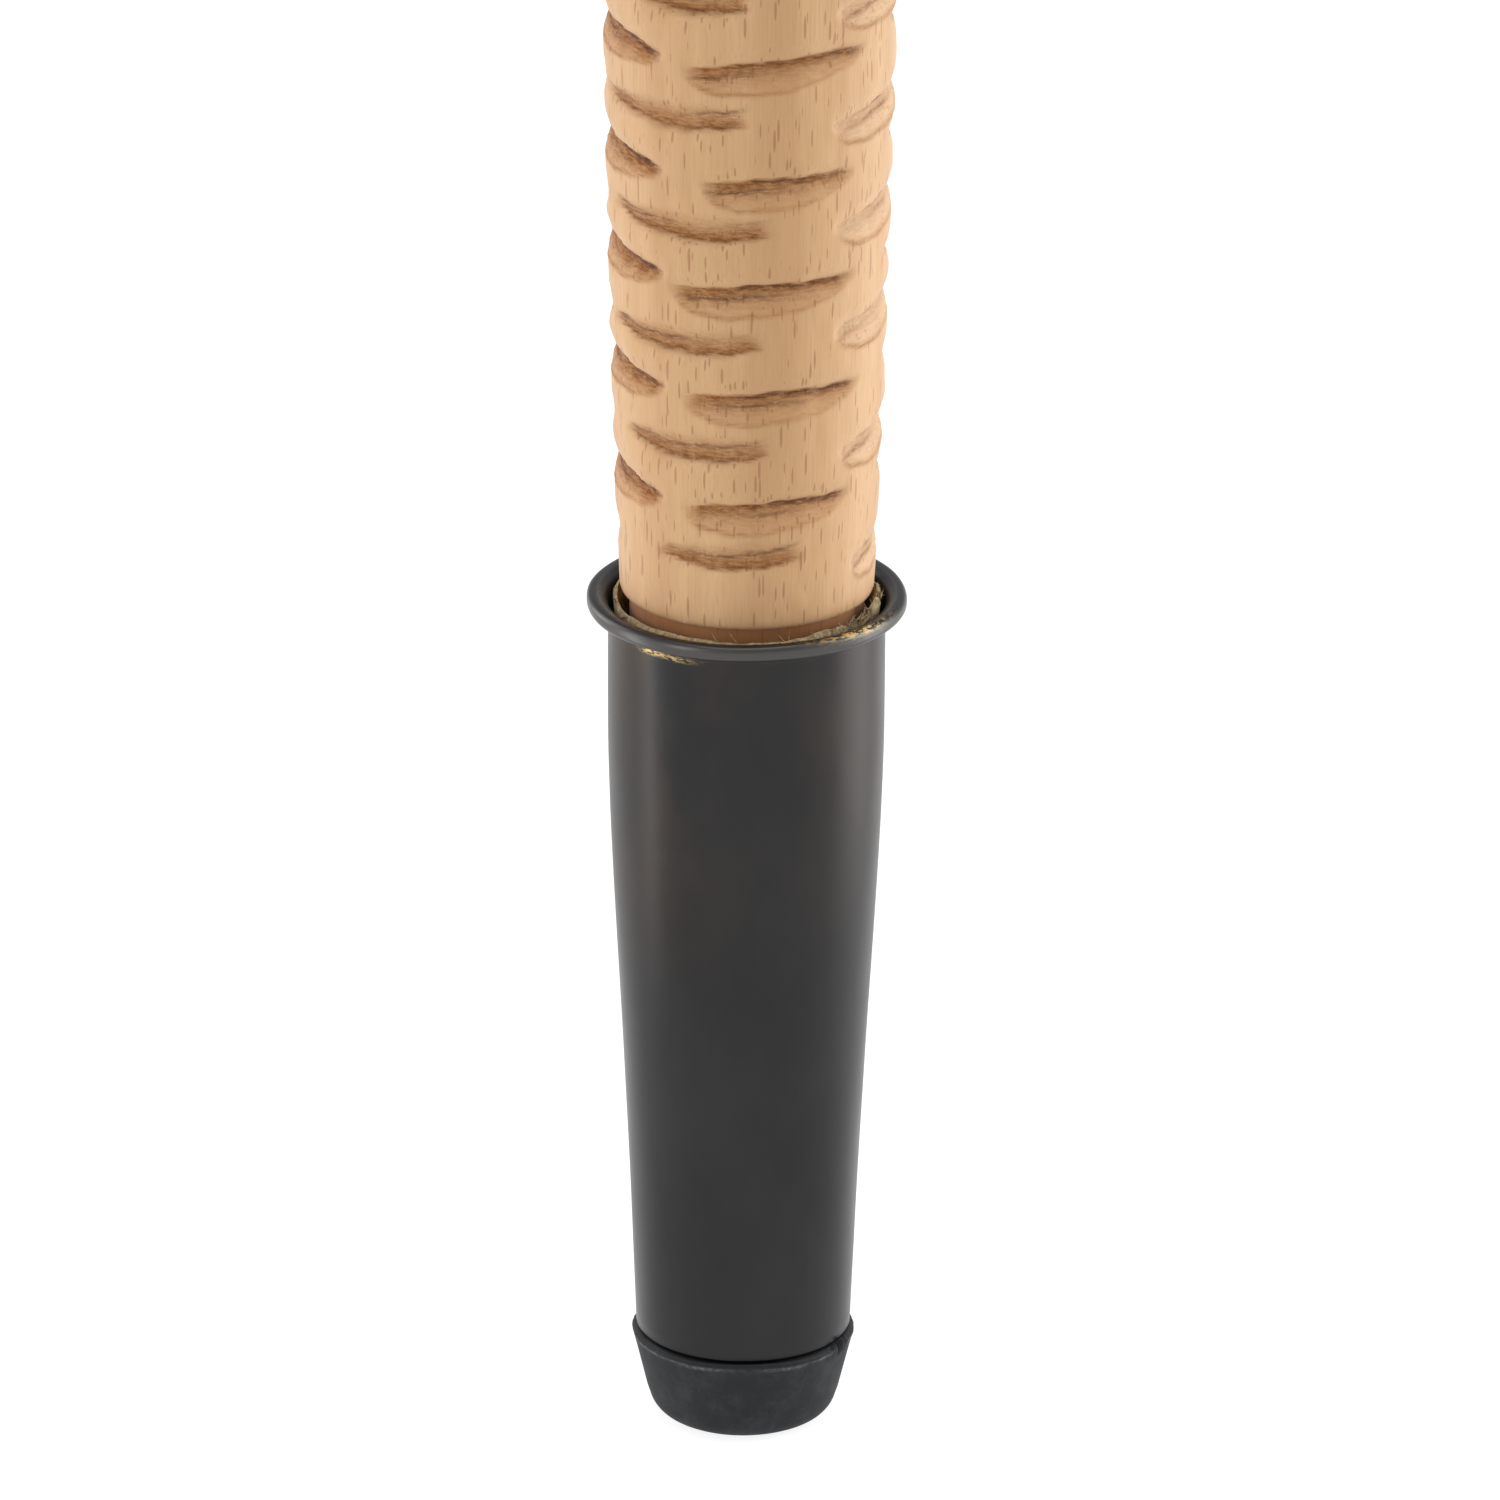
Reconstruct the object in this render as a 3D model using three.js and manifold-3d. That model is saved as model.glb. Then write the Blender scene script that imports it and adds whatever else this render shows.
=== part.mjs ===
// Underarm crutch of beech: a carved round staff in a blackened brass ferrule with a rubber tip, two bows
// clamped on the staff's flattened top by bolts and wing nuts, a sliding turned hand grip, and a padded underarm bar.
// Millimetres. +Z is up, the origin is on the floor under the middle of the rubber tip, and the bows spread along X.
import * as THREE from 'three';
import { mergeVertices } from 'three/addons/utils/BufferGeometryUtils.js';
import Module from 'manifold-3d';

const wasm = await Module();
wasm.setup();

// ---- Driving dimensions ----
const GAP = 0.3; // between pieces that touch
const ROUND_SIDES = 32;
const SMALL_SIDES = 16;

// Rubber tip
const TIP_FLAT_R = 8;
const TIP_EDGE_R = 3.2;
const TIP_CONE_TOP = { r: 12.68, z: 9.1 };
const TIP_LIP = { r: 12.45, z: 10.2, bead: 0.62 };
const TIP_RIM_Z = 10.9;
const TIP_SPIGOT = { r: 11.3, top: 15.4 };
const TIP_RECESS = { r: 5, depth: 3.9 };

// Ferrule
const FERRULE_WALL = 0.8;
const FERRULE_PROFILE = [[12.58, TIP_RIM_Z + GAP], [13.33, 30], [14.33, 50], [15.43, 70], [15.83, 80], [15.99, 90]];
const FERRULE_R = 16;
const FLARE_Z = 97.5;
const COLLAR = { r: 18.45, mouth: 16.95, top: 103.3, thick: 1.9, edge: 0.75 };

// Staff
const SHOULDER = { r: 14.65, z: 104.65 };
const STAFF_R = 17.6;
const TAPER_LENGTH = 62.3; // the height over which the staff's swelling falls to 1/e
const TENON = { foot: 16, footR: 11.2, z: 85, r: 13.5 };
const BLADE = { half: 11, start: 285, flat: 303, top: 650 };
const LINER = { foot: 42, top: 103.2, wall: 0.6, mouthR: 15.5 };

// Slides, clamp bolts and bows
const BOLT_R = 3.9;
const SLOT_W = 8.6;
const LEG_SLOT = { low: 325, high: 615 };
const CLAMP_BOLT_Z = [430, 510];
const BOW = { thick: 18, deep: 28, foot: 405, bendLow: 548, bendHigh: 742, top: 1213, edge: 4 };
const BOW_NEAR_X = BLADE.half + GAP + BOW.thick / 2;
const BOW_FAR_X = 61;
const GRIP_Z = 830;
const GRIP_SLOT_REACH = 53; // the grip's 50 mm of travel each way, and room for the bolt's square neck

// Underarm bar and pad
const BAR = { half: 90, deep: 34, under: 1205, top: 1231, rise: 9, edge: 4 };
const PAD = { half: 88, thick: 17, deep: 38, cover: 1.8, skirt: 15 };

// ---- Solids and geometry ----
// A three.js geometry as a manifold-3d solid: its shared vertices are merged and collapsed triangles dropped.
function toSolid(geometry) {
  const loose = geometry.index ? geometry.toNonIndexed() : geometry.clone();
  const bare = new THREE.BufferGeometry().setAttribute('position', loose.getAttribute('position'));
  const merged = mergeVertices(bare, 1e-4);
  const kept = [];
  const index = merged.index.array;
  for (let i = 0; i < index.length; i += 3) {
    const [a, b, c] = [index[i], index[i + 1], index[i + 2]];
    if (a !== b && b !== c && a !== c) kept.push(a, b, c);
  }
  const solidFrom = (triVerts) => new wasm.Manifold(new wasm.Mesh({
    numProp: 3,
    vertProperties: merged.attributes.position.array,
    triVerts: new Uint32Array(triVerts),
  }));
  const solid = solidFrom(kept);
  return solid.volume() > 0 ? solid : solidFrom([...kept].reverse());
}

function toGeometry(solid) {
  const mesh = solid.getMesh();
  return new THREE.BufferGeometry()
    .setAttribute('position', new THREE.BufferAttribute(mesh.vertProperties, 3))
    .setIndex(new THREE.BufferAttribute(mesh.triVerts, 1));
}

// A profile of [radius, height] points turned about Z.
function turned(profile, sides = ROUND_SIDES) {
  const points = profile.map(([r, z]) => new THREE.Vector2(r, z));
  return toSolid(new THREE.LatheGeometry(points, sides).rotateX(Math.PI / 2));
}

// The same about X, with each height a place along X.
function turnedAlongX(profile, sides = SMALL_SIDES) {
  const points = profile.map(([r, z]) => new THREE.Vector2(r, z));
  return toSolid(new THREE.LatheGeometry(points, sides).rotateX(Math.PI / 2).rotateY(Math.PI / 2));
}

// A shape drawn in X and Z, given a thickness along Y that is centred on y = 0, with rounded edges.
function extrudedAcross(shape, deep, edge = 0, curveSegments = 10) {
  const geometry = new THREE.ExtrudeGeometry(shape, {
    depth: deep - 2 * edge,
    bevelEnabled: edge > 0,
    bevelSize: edge,
    bevelOffset: -edge,
    bevelThickness: edge,
    bevelSegments: 2,
    curveSegments,
  });
  geometry.translate(0, 0, edge - deep / 2);
  return toSolid(geometry.rotateX(Math.PI / 2));
}

// A shape drawn in Y and Z, run along X from one place to another.
function extrudedAlongX(shape, fromX, toX) {
  const geometry = new THREE.ExtrudeGeometry(shape, { depth: toX - fromX, bevelEnabled: false, curveSegments: 8 });
  const turn = new THREE.Matrix4().makeBasis(
    new THREE.Vector3(0, 1, 0),
    new THREE.Vector3(0, 0, 1),
    new THREE.Vector3(1, 0, 0),
  );
  return toSolid(geometry.applyMatrix4(turn).translate(fromX, 0, 0));
}

function box(sizeX, sizeY, sizeZ, x, y, z) {
  return toSolid(new THREE.BoxGeometry(sizeX, sizeY, sizeZ).translate(x, y, z));
}

// A cutter for a slot with round ends between two heights of its end centres.
function slotCutter(low, high, fromX, toX) {
  const r = SLOT_W / 2;
  const shape = new THREE.Shape();
  shape.absarc(0, high, r, 0, Math.PI, false);
  shape.absarc(0, low, r, Math.PI, 2 * Math.PI, false);
  shape.closePath();
  return extrudedAlongX(shape, fromX, toX);
}

function arcPoints(r, z, radius, fromDeg, toDeg, steps) {
  return Array.from({ length: steps + 1 }, (_, i) => {
    const angle = THREE.MathUtils.degToRad(fromDeg + (toDeg - fromDeg) * i / steps);
    return [r + radius * Math.cos(angle), z + radius * Math.sin(angle)];
  });
}

// ---- Materials ----
const MATERIALS = {
  beech: { color: 0xdcb48a, roughness: 0.6, metalness: 0 },
  blackenedBrass: { color: 0x3c3b39, roughness: 0.42, metalness: 0.9 },
  rubber: { color: 0x33363a, roughness: 0.75, metalness: 0 },
  fibre: { color: 0xa8946c, roughness: 0.95, metalness: 0 },
  steel: { color: 0x9a9a98, roughness: 0.35, metalness: 1 },
  leather: { color: 0x6b452c, roughness: 0.55, metalness: 0 },
  foam: { color: 0xd8cda8, roughness: 0.95, metalness: 0 },
};
const crutch = new THREE.Group();

function add(name, solid, finish) {
  const mesh = new THREE.Mesh(toGeometry(solid), new THREE.MeshStandardMaterial(MATERIALS[finish]));
  mesh.name = name;
  crutch.add(mesh);
}

// ---- Foot: rubber tip, washer and screw ----
function rubberTip() {
  const { r: recessR, depth } = TIP_RECESS;
  const pilotR = 2.3;
  return turned([
    [pilotR, depth],
    [recessR, depth],
    [recessR, 0],
    ...arcPoints(TIP_FLAT_R, TIP_EDGE_R, TIP_EDGE_R, -90, -14, 4),
    [TIP_CONE_TOP.r, TIP_CONE_TOP.z],
    ...arcPoints(TIP_LIP.r, TIP_LIP.z, TIP_LIP.bead, -30, 70, 3),
    [TIP_LIP.r - 0.1, TIP_RIM_Z],
    [TIP_SPIGOT.r, TIP_RIM_Z],
    [TIP_SPIGOT.r, TIP_SPIGOT.top - 0.6],
    [TIP_SPIGOT.r - 0.6, TIP_SPIGOT.top],
    [pilotR, TIP_SPIGOT.top],
    [pilotR, depth],
  ]);
}

const TIP_WASHER = { r: 4.6, low: 2.6, high: TIP_RECESS.depth - GAP, hole: 2.3 };
function tipWasher() {
  const { r, low, high, hole } = TIP_WASHER;
  return turned([[hole, low], [r, low], [r, high], [hole, high], [hole, low]], SMALL_SIDES);
}

const TIP_SCREW = { shank: 1.9, head: 3.6, foot: 0.7, top: 38 };
function tipScrew() {
  const { shank, head, foot, top } = TIP_SCREW;
  const under = TIP_WASHER.low - GAP;
  return turned([[0, foot], [2.4, foot], [head, 1.5], [head, under], [shank, under], [shank, top - 5], [0, top]], SMALL_SIDES);
}

// ---- Ferrule: tapered tube with a spun collar, and the fibre liner under the collar ----
const ferruleCurve = new THREE.SplineCurve(FERRULE_PROFILE.map(([r, z]) => new THREE.Vector2(r, z)));
const ferruleOutline = ferruleCurve.getPoints(6).map((p) => [p.x, p.y]);

// The ferrule's outer radius at a height.
function ferruleRadius(z) {
  const above = ferruleOutline.findIndex(([, height]) => height >= z);
  if (above < 0) return FERRULE_R;
  if (above === 0) return ferruleOutline[0][0];
  const [[r0, z0], [r1, z1]] = [ferruleOutline[above - 1], ferruleOutline[above]];
  return r0 + (r1 - r0) * (z - z0) / (z1 - z0);
}

function ferrule() {
  const { r, mouth, top, thick, edge } = COLLAR;
  const boreTop = FERRULE_R - FERRULE_WALL;
  return turned([
    ...ferruleOutline,
    [FERRULE_R, top - thick - 0.9],
    [FERRULE_R + 0.5, top - thick - 0.2],
    ...arcPoints(r - edge, top - thick + edge, edge, -80, 0, 2),
    ...arcPoints(r - edge, top - edge, edge, 0, 90, 2),
    [mouth + 0.3, top],
    [mouth, top - 0.3],
    [mouth - 0.6, top - 2.2],
    [boreTop, FLARE_Z],
    ...ferruleOutline.map(([outer, z]) => [outer - FERRULE_WALL, z]).reverse(),
    ferruleOutline[0],
  ]);
}

function ferruleLiner() {
  const { foot, top, wall, mouthR } = LINER;
  const outside = [foot, 60, 78, 92, 96].map((z) => [ferruleRadius(z) - FERRULE_WALL - GAP, z]);
  outside.push([mouthR, top]);
  return turned([
    ...outside,
    ...outside.map(([r, z]) => [r - wall, z]).reverse(),
    outside[0],
  ]);
}

// ---- Staff: tenon, carved swelling round, and the slotted blade ----
function staffRadius(z) {
  return STAFF_R - (STAFF_R - SHOULDER.r) * Math.exp(-(z - SHOULDER.z) / TAPER_LENGTH);
}

function staff() {
  const swelling = [0, 10, 24, 42, 66, 100, 145].map((up) => [
    staffRadius(SHOULDER.z + up), SHOULDER.z + up,
  ]);
  const round = turned([
    [0, TENON.foot],
    [TENON.footR, TENON.foot],
    [TENON.r, TENON.z],
    [TENON.r, SHOULDER.z - 0.6],
    [SHOULDER.r - 0.5, SHOULDER.z - 0.5],
    ...swelling,
    [STAFF_R, BLADE.start],
    [STAFF_R, BLADE.top - 5],
    [STAFF_R - 5, BLADE.top],
    [0, BLADE.top],
  ]);
  const side = new THREE.Shape();
  const far = STAFF_R + 2;
  side.moveTo(far, BLADE.start - 3);
  side.quadraticCurveTo(BLADE.half, BLADE.start + 2, BLADE.half, BLADE.flat);
  side.lineTo(BLADE.half, BLADE.top + 2);
  side.lineTo(far, BLADE.top + 2);
  side.closePath();
  const flatRight = extrudedAcross(side, 3 * STAFF_R, 0, 6);
  const flatLeft = flatRight.rotate([0, 0, 180]);
  const pilot = turned([[0, TENON.foot - 1], [2.2, TENON.foot - 1], [2.2, TIP_SCREW.top], [0, TIP_SCREW.top + 2]], SMALL_SIDES);
  return round
    .subtract(flatRight)
    .subtract(flatLeft)
    .subtract(slotCutter(LEG_SLOT.low, LEG_SLOT.high, -20, 20))
    .subtract(pilot);
}

// ---- Bows ----
// The bow's centreline: X at a height, straight beside the blade, an S-bend, and straight again beside the grip.
function bowX(z) {
  const t = THREE.MathUtils.smootherstep(z, BOW.bendLow, BOW.bendHigh);
  return BOW_NEAR_X + (BOW_FAR_X - BOW_NEAR_X) * t;
}

function bow(side) {
  const half = BOW.thick / 2;
  const heights = [BOW.foot + 9];
  const steps = 14;
  for (let i = 0; i <= steps; i++) heights.push(BOW.bendLow + (BOW.bendHigh - BOW.bendLow) * i / steps);
  heights.push(BOW.top);
  const offset = (z, by) => {
    const slope = (bowX(z + 0.5) - bowX(z - 0.5));
    const length = Math.hypot(slope, 1);
    return new THREE.Vector2(bowX(z) + by / length, z - by * slope / length);
  };
  const inner = heights.map((z) => offset(z, -half));
  const outer = heights.map((z) => offset(z, half));
  const shape = new THREE.Shape();
  shape.moveTo(BOW_NEAR_X - half, BOW.foot);
  shape.quadraticCurveTo(BOW_NEAR_X + half - 3, BOW.foot, BOW_NEAR_X + half, BOW.foot + 9);
  outer.slice(1).forEach((p) => shape.lineTo(p.x, p.y));
  inner.reverse().forEach((p) => shape.lineTo(p.x, p.y));
  shape.closePath();
  let solid = extrudedAcross(shape, BOW.deep, BOW.edge, 5);
  for (const z of CLAMP_BOLT_Z) solid = solid.subtract(boltHole(z, 0, BOW_NEAR_X + BOW.thick));
  const [slotLow, slotHigh] = [GRIP_Z - GRIP_SLOT_REACH, GRIP_Z + GRIP_SLOT_REACH];
  solid = solid.subtract(slotCutter(slotLow, slotHigh, BOW_FAR_X - BOW.thick, BOW_FAR_X + BOW.thick));
  solid = solid.subtract(barScrewHole(BOW_FAR_X));
  if (side > 0) return solid;
  solid = solid.rotate([0, 0, 180]);
  for (const z of CLAMP_BOLT_Z) solid = solid.subtract(neckHole(z));
  return solid;
}

function boltHole(z, fromX, toX) {
  const r = BOLT_R + GAP;
  return turnedAlongX([[0, fromX], [r, fromX], [r, toX], [0, toX]]).translate([0, 0, z]);
}

// The square hole that keeps a carriage bolt from turning, in the left bow's outer face.
const NECK = { width: 8, length: 4.6 };
function neckHole(z) {
  const wide = NECK.width + 2 * GAP;
  const deep = NECK.length + GAP;
  return box(2 * deep, wide, wide, -(BOW_NEAR_X + BOW.thick / 2), 0, z);
}

// ---- Fasteners ----
const HEAD = { r: 9.5, height: 4.4 };

// A carriage bolt along X with its domed head at -X, square neck and plain shank, for bows whose outer faces are at +-face.
function carriageBolt(face, z, end) {
  const seat = -(face + GAP);
  const dome = [[0, seat - HEAD.height], [4, seat - 4], [7, seat - 2.9], [9, seat - 1.3], [HEAD.r, seat - 0.4], [HEAD.r, seat]];
  const body = turnedAlongX([...dome, [BOLT_R, seat], [BOLT_R, end - 1], [BOLT_R - 0.9, end], [0, end]]);
  const neck = box(NECK.length, NECK.width, NECK.width, seat + NECK.length / 2, 0, 0);
  return body.add(neck).translate([0, 0, z]);
}

function washer(fromX, toX, z, outer = 9.5) {
  const hole = BOLT_R + GAP;
  return turnedAlongX([[hole, fromX], [outer, fromX], [outer, toX], [hole, toX], [hole, fromX]]).translate([0, 0, z]);
}

const WING = { hub: 9.5, span: 17, tall: 14.5, thick: 3 };
function wingNut(fromX, z) {
  const hub = turnedAlongX([[0, 0], [7.4, 0], [7.4, 1.2], [5.9, WING.hub], [0, WING.hub]]);
  const wing = new THREE.Shape();
  wing.moveTo(1, 3);
  wing.quadraticCurveTo(2.5, 8.5, 7.5, 12);
  wing.quadraticCurveTo(6.5, WING.span + 1, 10.5, WING.span);
  wing.quadraticCurveTo(WING.tall + 0.6, WING.span - 1, WING.tall, 13);
  wing.quadraticCurveTo(12.5, 9, 8.5, 3);
  wing.closePath();
  const up = extrudedAcross(wing, WING.thick, 0.8, 4);
  const down = up.rotate([180, 0, 0]);
  const r = BOLT_R + GAP;
  const bore = turnedAlongX([[0, -1], [r, -1], [r, WING.tall + 2], [0, WING.tall + 2]]);
  return hub.add(up).add(down).subtract(bore).translate([fromX, 0, z]);
}

const WASHER_THICK = 1.6;
const NUT_OFFSET = 2 * GAP + WASHER_THICK + GAP; // from a bow's face to its wing nut
const CLAMP_FACE = BOW_NEAR_X + BOW.thick / 2;
const GRIP_FACE = BOW_FAR_X + BOW.thick / 2;

function clampSet(word, z) {
  add(`${word}_clamp_bolt`, carriageBolt(CLAMP_FACE, z, CLAMP_FACE + NUT_OFFSET + 14), 'steel');
  add(`${word}_clamp_washer`, washer(CLAMP_FACE + GAP, CLAMP_FACE + GAP + WASHER_THICK, z), 'steel');
  add(`${word}_wing_nut`, wingNut(CLAMP_FACE + NUT_OFFSET, z), 'steel');
}

// ---- Hand grip ----
const GRIP_INNER_FACE = BOW_FAR_X - BOW.thick / 2;
const GRIP_HALF = GRIP_INNER_FACE - GAP - WASHER_THICK - GAP;
function handGrip() {
  const bore = BOLT_R + GAP;
  const outline = [[12.5, 0], [14.5, 1.5], [15, 4], [14, 6.5], [13.4, 9], [14.6, 16], [16.2, 28], [17, 40], [17.2, GRIP_HALF]];
  const left = outline.map(([r, in_]) => [r, in_ - GRIP_HALF]);
  const right = outline.slice(0, -1).map(([r, in_]) => [r, GRIP_HALF - in_]).reverse();
  return turnedAlongX([[bore, -GRIP_HALF], ...left, ...right, [bore, GRIP_HALF], [bore, -GRIP_HALF]], 28)
    .translate([0, 0, GRIP_Z]);
}

// ---- Underarm bar, its screws, and the pad ----
function barTop(x) {
  return BAR.top + BAR.rise * (x / BAR.half) ** 2;
}

const BAR_SCREW = { shank: 2.1, head: 4, sink: 2.5, length: 58 };
function barScrew(x) {
  const { shank, head, sink, length } = BAR_SCREW;
  const top = barTop(x) - sink;
  const foot = top - length;
  return turned([[0, foot], [shank, foot + 4], [shank, top - 2.6], [head, top - 0.4], [head, top], [0, top]], 16)
    .translate([x, 0, 0]);
}

function barScrewHole(x) {
  const { shank, head, length } = BAR_SCREW;
  const top = barTop(x);
  const sunk = top - BAR_SCREW.sink;
  const [hole, wide] = [shank + GAP, head + GAP];
  const foot = sunk - length - 1;
  return turned([[0, foot], [hole, foot + 4], [hole, sunk - 2.8], [wide, sunk - 0.5], [wide, top + 5], [0, top + 5]], 16)
    .translate([x, 0, 0]);
}

function underarmBar() {
  const ends = BAR.top + BAR.rise;
  const shape = new THREE.Shape();
  shape.moveTo(-BAR.half + 10, BAR.under);
  shape.lineTo(BAR.half - 10, BAR.under);
  shape.quadraticCurveTo(BAR.half, BAR.under, BAR.half, BAR.under + 12);
  shape.lineTo(BAR.half, ends);
  shape.quadraticCurveTo(0, BAR.top - BAR.rise, -BAR.half, ends);
  shape.lineTo(-BAR.half, BAR.under + 12);
  shape.quadraticCurveTo(-BAR.half, BAR.under, -BAR.half + 10, BAR.under);
  let solid = extrudedAcross(shape, BAR.deep, BAR.edge);
  for (const x of [-BOW_FAR_X, BOW_FAR_X]) {
    const deep = BOW.top - BAR.under + GAP;
    const housing = box(BOW.thick + 2 * GAP, BOW.deep + 2 * GAP, 2 * deep, x, 0, BAR.under);
    solid = solid.subtract(housing).subtract(barScrewHole(x));
  }
  return solid;
}

// A block between two curves, given as heights over the bar's top, with its upper corners rounded.
function padBlock(half, low, high, deep, edge, corner = 8) {
  const shape = new THREE.Shape();
  const rise = BAR.rise * (half / BAR.half) ** 2;
  const [foot, top] = [BAR.top + rise + low, BAR.top + rise + high];
  shape.moveTo(-half, foot);
  shape.quadraticCurveTo(0, BAR.top - rise + low, half, foot);
  shape.lineTo(half, top - corner);
  shape.quadraticCurveTo(half, top, half - corner, top - corner / 8);
  shape.quadraticCurveTo(0, BAR.top - rise + high, corner - half, top - corner / 8);
  shape.quadraticCurveTo(-half, top, -half, top - corner);
  shape.closePath();
  return extrudedAcross(shape, deep, edge);
}

function padCore() {
  return padBlock(PAD.half, GAP, PAD.thick, PAD.deep - 2 * (PAD.cover + GAP), 3);
}

// The leather cover: over the foam and down round the bar's sides and ends, open underneath.
function padCover() {
  const reach = BAR.half + GAP + PAD.cover;
  const outside = padBlock(reach, -PAD.skirt, PAD.thick + GAP + PAD.cover, PAD.deep, 3);
  const foamRoom = padBlock(PAD.half + GAP, -PAD.skirt - 5, PAD.thick + GAP, PAD.deep - 2 * PAD.cover, 3);
  const barRoom = padBlock(BAR.half + GAP, -PAD.skirt - 5, GAP / 2, PAD.deep - 2 * PAD.cover, 0, 0.1);
  return outside.subtract(foamRoom).subtract(barRoom);
}

// ---- The crutch ----
add('rubber_tip', rubberTip(), 'rubber');
add('tip_washer', tipWasher(), 'steel');
add('tip_screw', tipScrew(), 'steel');
add('ferrule', ferrule(), 'blackenedBrass');
add('ferrule_liner', ferruleLiner(), 'fibre');
add('staff', staff(), 'beech');
add('left_bow', bow(-1), 'beech');
add('right_bow', bow(1), 'beech');
clampSet('lower', CLAMP_BOLT_Z[0]);
clampSet('upper', CLAMP_BOLT_Z[1]);
add('grip_bolt', carriageBolt(GRIP_FACE, GRIP_Z, GRIP_FACE + NUT_OFFSET + 14), 'steel');
add('grip_inner_washer_left', washer(-GRIP_INNER_FACE + GAP, -GRIP_HALF - GAP, GRIP_Z, 12), 'steel');
add('grip_inner_washer_right', washer(GRIP_HALF + GAP, GRIP_INNER_FACE - GAP, GRIP_Z, 12), 'steel');
add('grip_outer_washer', washer(GRIP_FACE + GAP, GRIP_FACE + GAP + WASHER_THICK, GRIP_Z), 'steel');
add('hand_grip', handGrip(), 'beech');
add('grip_wing_nut', wingNut(GRIP_FACE + NUT_OFFSET, GRIP_Z), 'steel');
add('underarm_bar', underarmBar(), 'beech');
add('bar_screw_left', barScrew(-BOW_FAR_X), 'steel');
add('bar_screw_right', barScrew(BOW_FAR_X), 'steel');
add('pad_core', padCore(), 'foam');
add('pad_cover', padCover(), 'leather');

export default crutch;
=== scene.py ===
"""A wooden underarm crutch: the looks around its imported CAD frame, a floor, soft light and the camera.

Millimetres are used for shapes and turned into metres when a mesh is made. +Z is up, the origin is on the
floor under the rubber tip, and the bows spread along X. Angles round the staff are measured from the front,
-Y, and are positive towards +X.
"""

import math

import bmesh
import bpy
import numpy as np
from mathutils import Matrix, Vector


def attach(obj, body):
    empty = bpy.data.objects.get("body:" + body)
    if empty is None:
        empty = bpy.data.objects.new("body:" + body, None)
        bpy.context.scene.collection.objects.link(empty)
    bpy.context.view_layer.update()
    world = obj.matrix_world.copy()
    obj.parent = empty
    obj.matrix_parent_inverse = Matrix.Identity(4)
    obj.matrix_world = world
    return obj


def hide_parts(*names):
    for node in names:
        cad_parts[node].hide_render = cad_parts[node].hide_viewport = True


MM = 0.001
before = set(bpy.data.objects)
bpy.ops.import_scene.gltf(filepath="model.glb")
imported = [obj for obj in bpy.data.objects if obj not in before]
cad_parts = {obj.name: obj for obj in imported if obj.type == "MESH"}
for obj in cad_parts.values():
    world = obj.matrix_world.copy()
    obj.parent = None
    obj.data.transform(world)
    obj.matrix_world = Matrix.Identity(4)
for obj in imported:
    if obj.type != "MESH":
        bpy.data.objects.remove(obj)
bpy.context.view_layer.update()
rng = np.random.default_rng(7)

# ---- Driving dimensions, in mm ----
STAFF_AROUND = 256  # columns of the staff's mesh
SHOULDER_R, SHOULDER_Z = 14.65, 104.65
STAFF_R = 17.6
TAPER_LENGTH = 62.3
TENON_FOOT_Z, TENON_FOOT_R, TENON_Z, TENON_R = 16.0, 11.2, 85.0, 13.5
BLADE_HALF = 11.0
BLADE_START_Z, BLADE_FLAT_Z, STAFF_TOP_Z = 282.0, 303.0, 650.0
LEG_SLOT = (325.0, 615.0)
SLOT_W = 8.6

FERRULE_WALL, FERRULE_FOOT_Z = 0.8, 11.2
FERRULE_KNOTS = (  # height and outer radius
    (11.2, 12.58), (20, 12.93), (30, 13.33), (40, 13.82), (50, 14.33), (60, 14.9), (70, 15.43), (75, 15.66),
    (80, 15.83), (85, 15.96), (90, 15.99), (100, 16.0),
)
COLLAR_R, COLLAR_TOP_Z, COLLAR_THICK = 18.45, 103.3, 1.9

CLAMP_Z = (430.0, 510.0)
BOW_THICK, BOW_DEEP, BOW_FOOT_Z, BOW_TOP_Z = 18.0, 28.0, 405.0, 1213.0
BOW_BEND = (548.0, 742.0)
BOW_NEAR_X, BOW_FAR_X = 20.3, 61.0
GRIP_Z = 830.0
GRIP_SLOT = (777.0, 883.0)

BOLT_R, THREAD_PITCH, THREAD_DEPTH = 3.9, 1.25, 0.55
GAP = 0.3  # room left between a bolt or a washer and what it goes through or lies on
WASHER_THICK = 1.6
NUT_OFFSET = 3 * GAP + WASHER_THICK  # from a bow's outer face to the foot of its wing nut
CLAMP_FACE, GRIP_FACE = BOW_NEAR_X + BOW_THICK / 2, BOW_FAR_X + BOW_THICK / 2
GRIP_INNER_FACE = BOW_FAR_X - BOW_THICK / 2
GRIP_HALF = GRIP_INNER_FACE - 2 * GAP - WASHER_THICK

BAR_HALF, BAR_DEEP, BAR_UNDER_Z, BAR_TOP_Z, BAR_RISE = 90.0, 34.0, 1205.0, 1231.0, 9.0
PAD_REACH, PAD_DEEP, PAD_THICK, COVER_THICK = 92.1, 38.0, 19.1, 1.8
SKIRT = 15.0  # how far the leather hangs below the bar's top
PIPING_UP = 5.5  # the piping's height over the bar's top
COVER_EDGE = (PAD_REACH - 0.9, PAD_DEEP / 2 - 0.9, 6.5)  # half-length, half-depth and corner, from above
COVER_SPINE, STUFFING_SPINE = 74.0, 72.0  # half the length of the line that a top runs in to
STITCH_COUNT, TACK_COUNT, STRAND_COUNT = 104, 26, 150
SCREW_R, SCREW_TOP_Z = 1.95, 38.0  # the wood screw in the tip

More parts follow.
